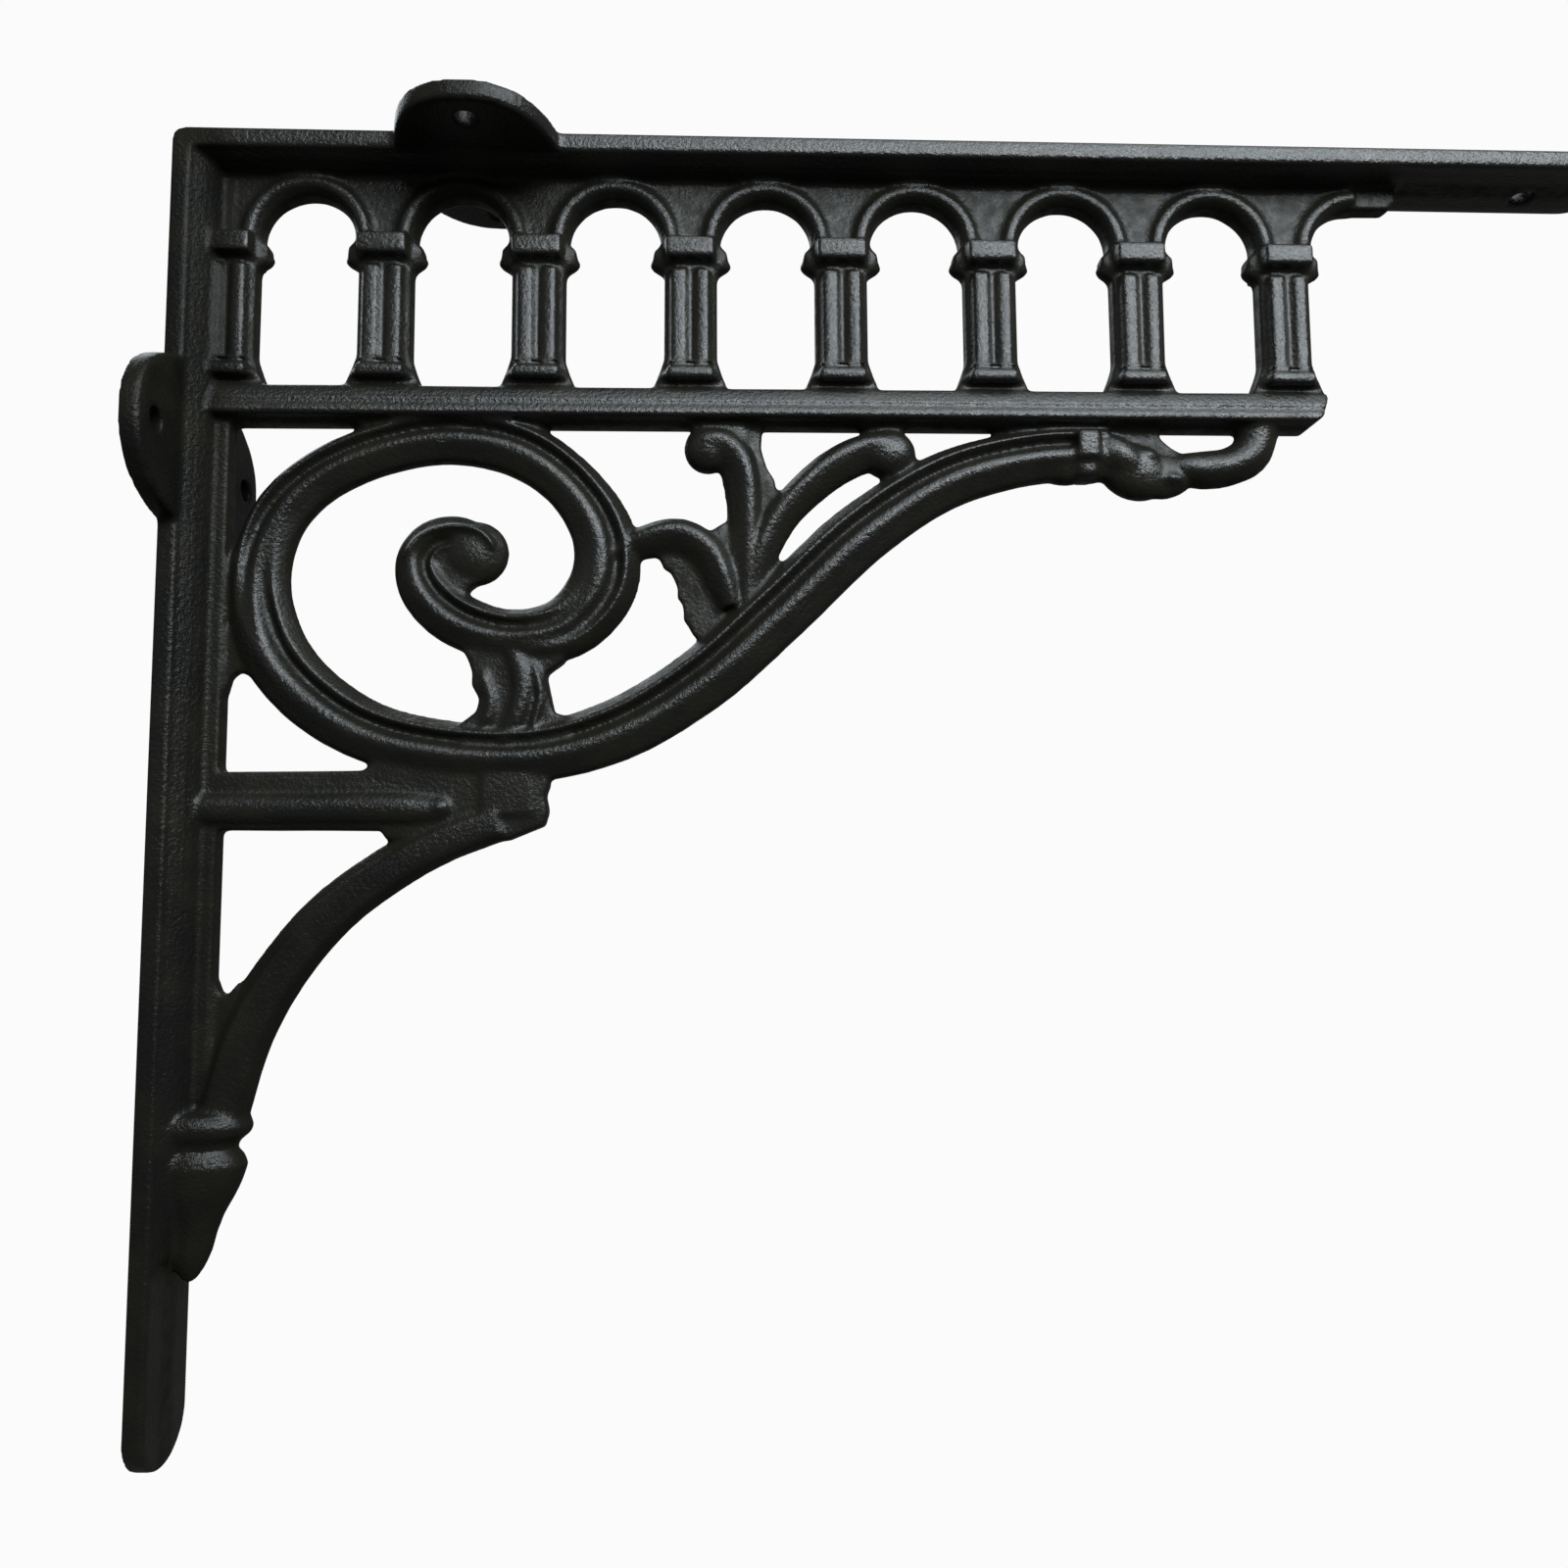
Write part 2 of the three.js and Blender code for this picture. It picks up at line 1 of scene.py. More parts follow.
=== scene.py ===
"""Dresses the cast iron shelf bracket: one finely modelled casting in the frame's own place.

The casting is drawn in millimetres, as [out from the wall, down from the shelf face], and the
finished mesh is scaled to metres and set against the wall face and the shelf face of the frame.
"""
import logging
import math
from collections.abc import Sequence
from dataclasses import dataclass, replace
from enum import Enum

import bmesh
import bpy
import numpy as np
from mathutils import Euler, Matrix, Vector, noise


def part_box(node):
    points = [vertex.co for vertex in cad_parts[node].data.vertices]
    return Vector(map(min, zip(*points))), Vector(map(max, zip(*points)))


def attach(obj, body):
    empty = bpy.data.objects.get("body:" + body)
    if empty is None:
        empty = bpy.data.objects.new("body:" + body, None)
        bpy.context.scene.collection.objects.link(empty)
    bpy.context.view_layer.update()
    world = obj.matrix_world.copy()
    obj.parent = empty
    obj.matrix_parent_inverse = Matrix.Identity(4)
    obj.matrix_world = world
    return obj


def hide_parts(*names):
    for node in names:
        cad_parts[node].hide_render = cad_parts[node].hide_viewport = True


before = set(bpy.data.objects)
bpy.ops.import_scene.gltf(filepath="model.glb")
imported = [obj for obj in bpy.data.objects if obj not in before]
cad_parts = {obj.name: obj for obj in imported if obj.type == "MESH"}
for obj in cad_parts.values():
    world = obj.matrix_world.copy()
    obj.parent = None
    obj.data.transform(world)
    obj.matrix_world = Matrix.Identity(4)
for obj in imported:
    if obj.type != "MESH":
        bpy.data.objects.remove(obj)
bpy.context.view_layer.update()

NODE = "bracket_casting"
# One millimetre in metres, and one square of the drawing's grid in millimetres
MM = 0.001
GRID = 10.29
TINY = 1e-6
RIDGE = "ridge"
WHITE = (1.0, 1.0, 1.0, 1.0)

log = logging.getLogger("bracket")

Place = Sequence[float]
Colour = tuple[float, float, float, float]
Triple = tuple[float, float, float]
Pairs = tuple[tuple[float, float], ...]
Shape = bmesh.types.BMesh
Socket = bpy.types.NodeSocket
# The range that a value is read over, and what it gives at both ends
Blend = tuple[float, float, float, float]


class Strip(Enum):
    """The two flat strips, each with its directions along, across and off its outer face."""

    LEG = ((0.0, 0.0, -1.0), (0.0, 1.0, 0.0), (1.0, 0.0, 0.0))
    ARM = ((1.0, 0.0, 0.0), (0.0, -1.0, 0.0), (0.0, 0.0, -1.0))

    def matrix(self) -> Matrix:
        """The turn from the strip's own directions into the drawing."""
        return Matrix(self.value).transposed().to_4x4()


@dataclass(frozen=True)
class Moulding:
    """The cross-section of a rib: its height over the parting plane, the middle of the casting.

    Args:
        relief: the greatest height, in millimetres.
        shape: pairs of place across, from -1 to 1, and share of the relief.
    """

    relief: float
    shape: Pairs

    def height(self, across: float, flip: float = 0.0) -> float:
        """The height at a place across, where a flip of 1 swaps the two sides.

        Args:
            across: the place, from -1 to 1.
            flip: how far the section has turned into its mirror image, from 0 to 1.

        Returns:
            The height in millimetres.
        """
        places, shares = zip(*self.shape)
        here = float(np.interp(across, places, shares))
        there = float(np.interp(-across, places, shares))
        return self.relief * (here * (1.0 - flip) + there * flip)


@dataclass(frozen=True)
class Trace:
    """A finely divided line in the plane of the web.

    Args:
        spots: places as [out, up, share of width, flip], in millimetres.
    """

    spots: tuple[Vector, ...]

    @classmethod
    def through(cls, points: Sequence[Place], fineness: int = 16) -> "Trace":
        """A smooth line through points given in grid squares.

        Args:
            points: [out, down, share of width, flip], where the last two may be left out.
            fineness: how many steps run from one point to the next.
        """
        knots = []
        for out, down, *rest in points:
            width = rest[0] if rest else 1.0
            flip = rest[1] if len(rest) > 1 else 0.0
            knots.append(Vector((out * GRID, -down * GRID, width, flip)))
        knots = [2 * knots[0] - knots[1], *knots, 2 * knots[-1] - knots[-2]]
        spots = []
        for a, b, c, d in zip(knots, knots[1:], knots[2:], knots[3:]):
            spots += [cls._between(a, b, c, d, i / fineness) for i in range(fineness)]
        spots.append(knots[-2])
        return cls(tuple(spots))

    @staticmethod
    def _between(a: Vector, b: Vector, c: Vector, d: Vector, share: float) -> Vector:
        """The place a share of the way from b to c on the centripetal curve through all four."""
        gaps = [max((q.xy - p.xy).length ** 0.5, TINY) for p, q in ((a, b), (b, c), (c, d))]
        start = (b - a) / gaps[0] - (c - a) / (gaps[0] + gaps[1]) + (c - b) / gaps[1]
        end = (c - b) / gaps[1] - (d - b) / (gaps[1] + gaps[2]) + (d - c) / gaps[2]
        start, end = start * gaps[1], end * gaps[1]
        bend = 2 * (b - c) + start + end
        lean = 3 * (c - b) - 2 * start - end
        return bend * share**3 + lean * share**2 + start * share + b

    @classmethod
    def straight(cls, start: Place, end: Place) -> "Trace":
        """A straight line between two places in millimetres, [out, up]."""
        first, last = Vector((*start, 1.0, 0.0)), Vector((*end, 1.0, 0.0))
        return cls((first, (first + last) / 2, last))

    @classmethod
    def arc(cls, centre: Place, radius: float, start: float, end: float) -> "Trace":
        """Part of a circle, from one angle to another in radians."""
        steps = 48
        angles = [start + (end - start) * i / steps for i in range(steps + 1)]
        spots = [
            Vector((centre[0] + radius * math.cos(a), centre[1] + radius * math.sin(a), 1.0, 0.0))
            for a in angles
        ]
        return cls(tuple(spots))

    def stations(self, count: int) -> list[tuple[Vector, Vector]]:
        """Even steps along the line.

        Args:
            count: how many places to give.

        Returns:
            Each place and its direction, as a unit vector [out, up].
        """
        steps = [(q.xy - p.xy).length for p, q in zip(self.spots, self.spots[1:])]
        travelled = np.concatenate([[0.0], np.cumsum(steps)])
        rows = np.array([list(spot) for spot in self.spots])
        wanted = np.linspace(0.0, travelled[-1], count)
        columns = [np.interp(wanted, travelled, rows[:, k]) for k in range(4)]
        places = [Vector(row) for row in np.stack(columns, axis=1).tolist()]
        found = []
        for i, place in enumerate(places):
            ahead = places[min(i + 1, count - 1)].xy - places[max(i - 1, 0)].xy
            found.append((place, ahead.normalized()))
        return found


class Mould:
    """Collects closed shapes, which the casting then joins into one skin."""

    def __init__(self) -> None:
        """Starts with nothing in the mould."""
        self.shapes = bmesh.new()

    def add(self, shape: Shape) -> None:
        """Puts a closed shape in the mould, its faces turned outwards, and frees it."""
        bmesh.ops.recalc_face_normals(shape, faces=shape.faces[:])
        if shape.calc_volume(signed=True) < 0.0:
            bmesh.ops.reverse_faces(shape, faces=shape.faces[:])
        mesh = bpy.data.meshes.new("shape")
        shape.to_mesh(mesh)
        shape.free()
        self.shapes.from_mesh(mesh)
        bpy.data.meshes.remove(mesh)


def everything(bm: Shape) -> list:
    """A shape's vertices, edges and faces."""
    return bm.verts[:] + bm.edges[:] + bm.faces[:]


def close_rims(bm: Shape) -> None:
    """Fills every open rim of a shape."""
    bmesh.ops.holes_fill(bm, edges=[edge for edge in bm.edges if edge.is_boundary])


def round_off(bm: Shape, edges: list, offset: float, segments: int = 2) -> None:
    """Rounds off some edges of a shape, as far from each as the offset says."""
    bmesh.ops.bevel(
        bm, geom=edges, offset=offset, offset_type="OFFSET", affect="EDGES",
        segments=segments, profile=0.5, material=-1, clamp_overlap=True,
    )


def raised(corners: Sequence[Place], step: Place) -> Shape:
    """A flat outline drawn out by the given step into a closed shape."""
    bm = bmesh.new()
    base = bm.faces.new([bm.verts.new(corner) for corner in corners])
    grown = bmesh.ops.extrude_face_region(bm, geom=[base])["geom"]
    moved = [item for item in grown if isinstance(item, bmesh.types.BMVert)]
    bmesh.ops.translate(bm, verts=moved, vec=step)
    return bm


def band(trace: Trace, moulding: Moulding, width: float, along: int, across: int = 24) -> Shape:
    """A rib with the same relief on both faces, swept along a line.

    Where the line's share of the width is under 1, the relief is lower by the same share.

    Args:
        trace: the middle line of the rib.
        moulding: its cross-section.
        width: its full width in millimetres where the line's share is 1.
        along: how many stations it has.
        across: how many strips its face has.

    Returns:
        The closed rib.
    """
    bm = bmesh.new()
    bmesh.ops.create_grid(bm, x_segments=along, y_segments=across, size=1.0)
    stations = trace.stations(along + 1)
    for vert in bm.verts:
        place, ahead = stations[round((vert.co.x + 1.0) / 2.0 * along)]
        side = max(-1.0, min(1.0, vert.co.y))
        reach = side * width / 2.0 * place.z
        on_rim = abs(side) > 1.0 - 1e-3
        height = 0.0 if on_rim else moulding.height(side, place.w) * min(1.0, place.z)
        vert.co = Vector((place.x - ahead.y * reach, -height, place.y + ahead.x * reach))
    bmesh.ops.mirror(bm, geom=everything(bm), axis="Y", merge_dist=1e-4)
    close_rims(bm)
    return bm


def plate(outline: Sequence[Place], thickness: float, soften: float = 0.0) -> Shape:
    """A flat plate in the plane of the web, centred on it.

    Args:
        outline: its corners as [out, up] in millimetres.
        thickness: its full thickness.
        soften: how far the rims of its two faces are rounded off.
    """
    near = [(out, -thickness / 2.0, up) for out, up in outline]
    bm = raised(near, (0.0, thickness, 0.0))
    if soften > 0.0:
        rims = [edge for edge in bm.edges if abs(edge.verts[0].co.y - edge.verts[1].co.y) < TINY]
        round_off(bm, rims, soften)
    return bm


def grid_plate(outline: Sequence[Place], thickness: float, soften: float = 0.0) -> Shape:
    """A plate whose corners are given in grid squares, as [out, down]."""
    return plate([(out * GRID, -down * GRID) for out, down in outline], thickness, soften)


def block(centre: Place, width: float, height: float, relief: float, slope: float) -> Shape:
    """A squared block whose faces are smaller than its middle, as cast ornament is.

    Args:
        centre: its middle as [out, up].
        width, height: its size at the parting plane.
        relief: how far each face stands off that plane.
        slope: how far each side leans in.
    """
    bm = bmesh.new()
    bmesh.ops.create_cube(bm, size=2.0)
    middle = [edge for edge in bm.edges if edge.verts[0].co.y * edge.verts[1].co.y < 0.0]
    bmesh.ops.subdivide_edges(bm, edges=middle, cuts=1, use_grid_fill=True)
    for vert in bm.verts:
        lean = slope * abs(vert.co.y)
        vert.co = Vector((
            math.copysign(width / 2.0 - lean, vert.co.x),
            vert.co.y * relief,
            math.copysign(height / 2.0 - lean, vert.co.z),
        ))
    sharp = 0.5
    widest_rounding = 0.8
    corners = [edge for edge in bm.edges if abs(edge.calc_face_angle(0.0)) > sharp]
    round_off(bm, corners, min(slope, widest_rounding))
    bmesh.ops.translate(bm, verts=bm.verts[:], vec=(centre[0], 0.0, centre[1]))
    return bm


def bulb(
    out: float, down: float, width: float, height: float, relief: float, turn: float = 0.0
) -> Shape:
    """A smooth swelling in the web.

    Args:
        out, down: its middle, in grid squares from the wall and from the shelf face.
        width, height: half its size in grid squares.
        relief: how far it stands off the parting plane, in millimetres.
        turn: how far its right end is lowered, in degrees.
    """
    bm = bmesh.new()
    bmesh.ops.create_uvsphere(bm, u_segments=32, v_segments=20, radius=1.0)
    bmesh.ops.scale(bm, verts=bm.verts[:], vec=(width * GRID, relief, height * GRID))
    lean = Matrix.Rotation(math.radians(turn), 3, "Y")
    bmesh.ops.rotate(bm, verts=bm.verts[:], cent=(0.0, 0.0, 0.0), matrix=lean)
    bmesh.ops.translate(bm, verts=bm.verts[:], vec=(out * GRID, 0.0, -down * GRID))
    return bm


@dataclass
class Strips:
    """The wall leg and the shelf arm with their mounds, lobes and screw holes.

    Args:
        leg_length: from the shelf face to the leg's tip.
        arm_length: from the wall face to the arm's tip.
    """

    leg_length: float
    arm_length: float
    width: float = 20.6
    thickness: float = 4.8
    corner_radius: float = 3.0
    leg_mound: float = 4.9
    arm_mound: float = 2.9
    leg_mound_length: float = 258.0
    arm_mound_length: float = 294.0
    lobe_width: float = 39.6
    near_reach: float = 28.3
    arm_far_reach: float = 24.6
    wall_far_reach: float = 33.4
    arm_lobe_from_wall: float = 69.5
    wall_lobe_from_top: float = 74.0
    hole_from_tip: float = 7.8
    hole: float = 5.0
    tip_hole: tuple[float, float] = (327.0, -3.0)
    strip_softness: float = 0.9
    lobe_softness: float = 1.4
    lobe_squareness: float = 0.86
    mound_inset: float = 0.7
    mound_rise: Pairs = ((0, 1), (0.28, 0.97), (0.45, 0.84), (0.65, 0.6), (0.85, 0.3), (1, 0))

    def pour(self, mould: Mould) -> None:
        """Puts the two strips in the mould."""
        mould.add(self.drilled(self.strip(self.leg_length), Strip.LEG, []))
        mould.add(self.drilled(self.strip(self.arm_length), Strip.ARM, [self.tip_hole]))
        mould.add(self.corner())
        mould.add(self.mound(self.leg_mound_length, self.leg_mound, Strip.LEG))
        mould.add(self.mound(self.arm_mound_length, self.arm_mound, Strip.ARM))
        wall = self.lobes(self.wall_lobe_from_top, self.near_reach, self.wall_far_reach)
        arm = self.lobes(self.arm_lobe_from_wall, self.arm_far_reach, self.near_reach)
        near = self.near_reach - self.hole_from_tip
        wall_holes = (-near, self.wall_far_reach - self.hole_from_tip)
        arm_holes = (self.hole_from_tip - self.arm_far_reach, near)
        mould.add(self.drilled(wall, Strip.LEG, [(self.wall_lobe_from_top, v) for v in wall_holes]))
        mould.add(self.drilled(arm, Strip.ARM, [(self.arm_lobe_from_wall, v) for v in arm_holes]))

    def strip(self, length: float) -> Shape:
        """A flat strip with a round end, in its own directions.

        Args:
            length: from the corner to the tip.

        Returns:
            The closed strip, which starts past the rounded corner.
        """
        half = self.width / 2.0
        tip = [
            (length - half + half * math.cos(a), half * math.sin(a))
            for a in np.linspace(-math.pi / 2.0, math.pi / 2.0, 25)
        ]
        outline = [(self.corner_radius, -half), *tip, (self.corner_radius, half)]
        return self._thick(outline, self.strip_softness)

    def _thick(self, outline: Sequence[Place], soften: float) -> Shape:
        """An outline in the strip's own directions, raised to its thickness and softened."""
        bm = raised([(u, v, 0.0) for u, v in outline], (0.0, 0.0, self.thickness))
        half = self.thickness / 2.0
        inner = [edge for edge in bm.edges if all(vert.co.z > half for vert in edge.verts)]
        round_off(bm, inner, soften, 3)
        return bm

    def lobes(self, centre: float, reach_minus: float, reach_plus: float) -> Shape:
        """Two rounded lobes, one on each side of a strip, in its own directions.

        Args:
            centre: their place along the strip.
            reach_minus: how far the lobe on the minus side reaches from the middle line.
            reach_plus: how far the other lobe reaches.
        """
        squareness = self.lobe_squareness
        outline = []
        for angle in np.linspace(0.0, 2.0 * math.pi, 72, endpoint=False):
            cos, sin = math.cos(angle), math.sin(angle)
            reach = reach_minus if sin < 0.0 else reach_plus
            u = math.copysign(abs(cos) ** squareness, cos) * self.lobe_width / 2.0
            v = math.copysign(abs(sin) ** squareness, sin) * reach
            outline.append((centre + u, v))
        return self._thick(outline, self.lobe_softness)

    def corner(self) -> Shape:
        """The rounded outer corner where the leg and the arm meet."""
        radius, reach = self.corner_radius, self.corner_radius + 6.0
        arc = [
            (radius + radius * math.cos(a), -radius + radius * math.sin(a))
            for a in np.linspace(math.pi, math.pi / 2.0, 9)
        ]
        inner = [(reach, 0.0), (reach, -self.thickness), (self.thickness, -self.thickness)]
        return plate([(0.0, -reach), *arc, *inner, (self.thickness, -reach)], self.width)

    def mound(self, length: float, height: float, strip: Strip) -> Shape:
        """The low mound that thickens a strip towards the web and dies away at its end.

        Args:
            length: how far it runs along the strip.
            height: its greatest height.
            strip: the strip that it lies on.
        """
        foot = self.width / 2.0 - self.mound_inset
        start_share, end_share, sunk = 0.01, 0.12, 0.3
        bm = bmesh.new()
        bmesh.ops.create_grid(bm, x_segments=90, y_segments=20, size=1.0)
        for vert in bm.verts:
            share = (vert.co.x + 1.0) / 2.0
            side = vert.co.y
            fade = min(1.0, (1.0 - share) / end_share, share / start_share)
            lift = float(np.interp(abs(side), *zip(*self.mound_rise))) * fade**0.5 * height
            vert.co = Vector((share * length, side * foot, self.thickness - sunk + lift))
        close_rims(bm)
        bmesh.ops.transform(bm, matrix=strip.matrix(), verts=bm.verts[:])
        return bm

    def drilled(self, bm: Shape, strip: Strip, holes: Sequence[Place]) -> Shape:
        """A piece of a strip with its screw holes cut, turned into the drawing.

        Args:
            bm: the closed piece in the strip's own directions, which is freed.
            strip: the strip that it belongs to.
            holes: each hole as [along, across].
        """
        if holes:
            bm = self._cut(bm, holes)
        bmesh.ops.transform(bm, matrix=strip.matrix(), verts=bm.verts[:])
        return bm

    def _cut(self, bm: Shape, holes: Sequence[Place]) -> Shape:
        """The piece with a round hole cut at each place."""
        tool = bmesh.new()
        for along, across in holes:
            middle = Matrix.Translation((along, across, self.thickness / 2.0))
            bmesh.ops.create_cone(
                tool, cap_ends=True, segments=32, radius1=self.hole / 2.0,
                radius2=self.hole / 2.0, depth=self.thickness * 3.0, matrix=middle,
            )
        drill = as_object(tool, "drill")
        cut = modified(bm, "BOOLEAN", operation="DIFFERENCE", solver="EXACT", object=drill)
        discard(drill)
        result = bmesh.new()
        result.from_mesh(cut)
        bpy.data.meshes.remove(cut)
        return result


@dataclass
class Arcade:
    """The round arches on columns, and the moulded rail under them.

    Args:
        wall_gap: where the panel starts, inside the leg.
    """

    wall_gap: float = 4.8
    pitch: float = 36.0
    count: int = 7
    first_arch: float = 28.7
    radius: float = 10.7
    centre_drop: float = 22.3
    ring_width: float = 5.9
    panel: float = 5.0
    shaft_width: float = 13.0
    shaft_top: float = 28.4
    shaft_foot: float = 50.8
    capital_drop: float = 23.4
    plinth_drop: float = 54.0
    rail_top: float = 57.8
    rail_height: float = 9.6
    rail_overhang: float = 8.8
    rail_end: Pairs = ((-1.6, -64.6), (-5.5, -67.6))
    rail_chamfer_top: float = 60.0
    stub_length: float = 11.0
    stub_rise: float = 2.2
    ring: Moulding = Moulding(4.3, (
        (-1, 0), (-0.8, 0.5), (-0.6, 0.82), (-0.3, 0.98), (0, 1), (0.3, 0.96), (0.55, 0.8),
        (0.75, 0.56), (1, 0),
    ))
    reeds: Moulding = Moulding(4.8, (
        (-1, 0), (-0.86, 0.5), (-0.76, 0.86), (-0.68, 0.97), (-0.5, 1), (-0.24, 0.94), (-0.1, 0.74),
        (0.04, 0.66), (0.12, 0.9), (0.22, 0.98), (0.5, 1), (0.68, 0.97), (0.76, 0.86), (0.86, 0.5),
        (1, 0),
    ))
    fascia: Moulding = Moulding(5.6, (
        (-1, 0), (-0.98, 0.4), (-0.88, 0.46), (-0.79, 0.64), (-0.72, 0.9), (-0.64, 0.99), (-0.5, 1),
        (-0.3, 0.98), (-0.16, 0.95), (-0.11, 0.84), (-0.05, 0.82), (0.02, 0.89), (0.12, 0.9),
        (0.5, 0.8), (0.95, 0.6), (1, 0),
    ))

    def pour(self, mould: Mould) -> None:
        """Puts the arcade in the mould."""
        for index in range(self.count + 1):
            middle = self.first_arch + (index - 0.5) * self.pitch
            mould.add(self.panel_over(middle))
            for piece in self.column(middle):
                mould.add(piece)
        for index in range(self.count + 1):
            mould.add(self.arch_ring(index))
        mould.add(self.stub())
        mould.add(self.rail())

    def panel_over(self, middle: float) -> Shape:
        """The flat iron behind a column, from the middle of one arch to the next."""
        half = self.pitch / 2.0
        shaft = self.shaft_width / 2.0
        side = [
            (shaft + 2.7, -self.rail_top - 2.0),
            (shaft + 2.6, -self.rail_top),
            (shaft + 1.2, -(self.rail_top + self.shaft_foot) / 2.0),
            (shaft, -self.shaft_foot),
            (shaft, -self.shaft_top - 1.4),
            (8.1, -self.shaft_top + 1.0),
            (9.2, -self.shaft_top + 2.6),
            (9.0, -self.shaft_top + 4.4),
            (half - self.radius, -self.centre_drop),
        ]
        arc = [
            (half - self.radius * math.cos(a), -self.centre_drop + self.radius * math.sin(a))
            for a in np.linspace(0.0, math.pi / 2.0, 13)[1:]
        ]
        right = [*side, *arc, (half + 0.2, -1.0)]
        left = [(-x, z) for x, z in reversed(right)]
        outline = [(middle + x, z) for x, z in [*right, *left]]
        outline = [(max(x, self.wall_gap), z) for x, z in outline]
        return plate(outline, self.panel, 0.8)

    def column(self, middle: float) -> list[Shape]:
        """A column in relief: its reeded shaft, its capital with an astragal, and its plinth.

        Each squared member is given by its level, width, height, relief and slope.
        """
        shaft = Trace.straight((middle, -self.plinth_drop), (middle, -self.shaft_top - 1.0))
        capital = [
            (-self.capital_drop - 0.8, 14.6, 5.6, 3.6, 0.9),
            (-self.capital_drop - 1.3, 13.2, 6.8, 6.3, 0.7),
        ]
        plinth = [
            (-self.plinth_drop + 1.5, 12.4, 1.2, 5.2, 0.6),
            (-self.plinth_drop - 1.2, 13.2, 5.0, 5.7, 1.0),
            (-self.plinth_drop - 1.6, 16.6, 4.6, 3.9, 1.5),
        ]
        return [
            band(shaft, self.reeds, self.shaft_width - 0.6, 4, 40),
            *(block((middle, level), *sizes) for level, *sizes in capital),
            bulb(middle / GRID, (self.capital_drop + 3.5) / GRID, 0.97, 0.34, 3.8),
            *(block((middle, level), *sizes) for level, *sizes in plinth),
        ]

    def arch_ring(self, index: int) -> Shape:
        """The raised ring round an arch, or round the half arch at the arm's end."""
        centre = (self.first_arch + index * self.pitch, -self.centre_drop)
        end = math.pi / 2.0 if index == self.count else 0.0
        trace = Trace.arc(centre, self.radius + self.ring_width / 2.0 - 0.1, math.pi, end)
        return band(trace, self.ring, self.ring_width, 40, 16)

    def stub(self) -> Shape:
        """The short tail under the arm past the half arch."""
        end = self.first_arch + self.count * self.pitch
        top = -self.centre_drop + self.radius
        return plate([
            (end - 2.0, top), (end + self.stub_length - self.stub_rise, top + 0.3),
            (end + self.stub_length, top + self.stub_rise), (end + self.stub_length, -2.0),
            (end - 2.0, -2.0),
        ], self.panel, 0.6)

    def rail(self) -> Shape:
        """The moulded rail with its chamfered end."""
        end = self.first_arch + (self.count - 0.5) * self.pitch + self.rail_overhang
        middle = -self.rail_top - self.rail_height / 2.0
        line = Trace.straight((self.wall_gap, middle), (end, middle))
        bm = band(line, self.fascia, self.rail_height, 60, 48)
        chamfer = [(end, -self.rail_chamfer_top), *((end + x, z) for x, z in self.rail_end)]
        for start, stop in zip(chamfer, chamfer[1:]):
            lie = Vector((stop[0] - start[0], 0.0, stop[1] - start[1]))
            bmesh.ops.bisect_plane(
                bm, geom=everything(bm), dist=1e-5, plane_co=(start[0], 0.0, start[1]),
                plane_no=Vector((-lie.z, 0.0, lie.x)), clear_outer=True,
            )
            close_rims(bm)
        return bm


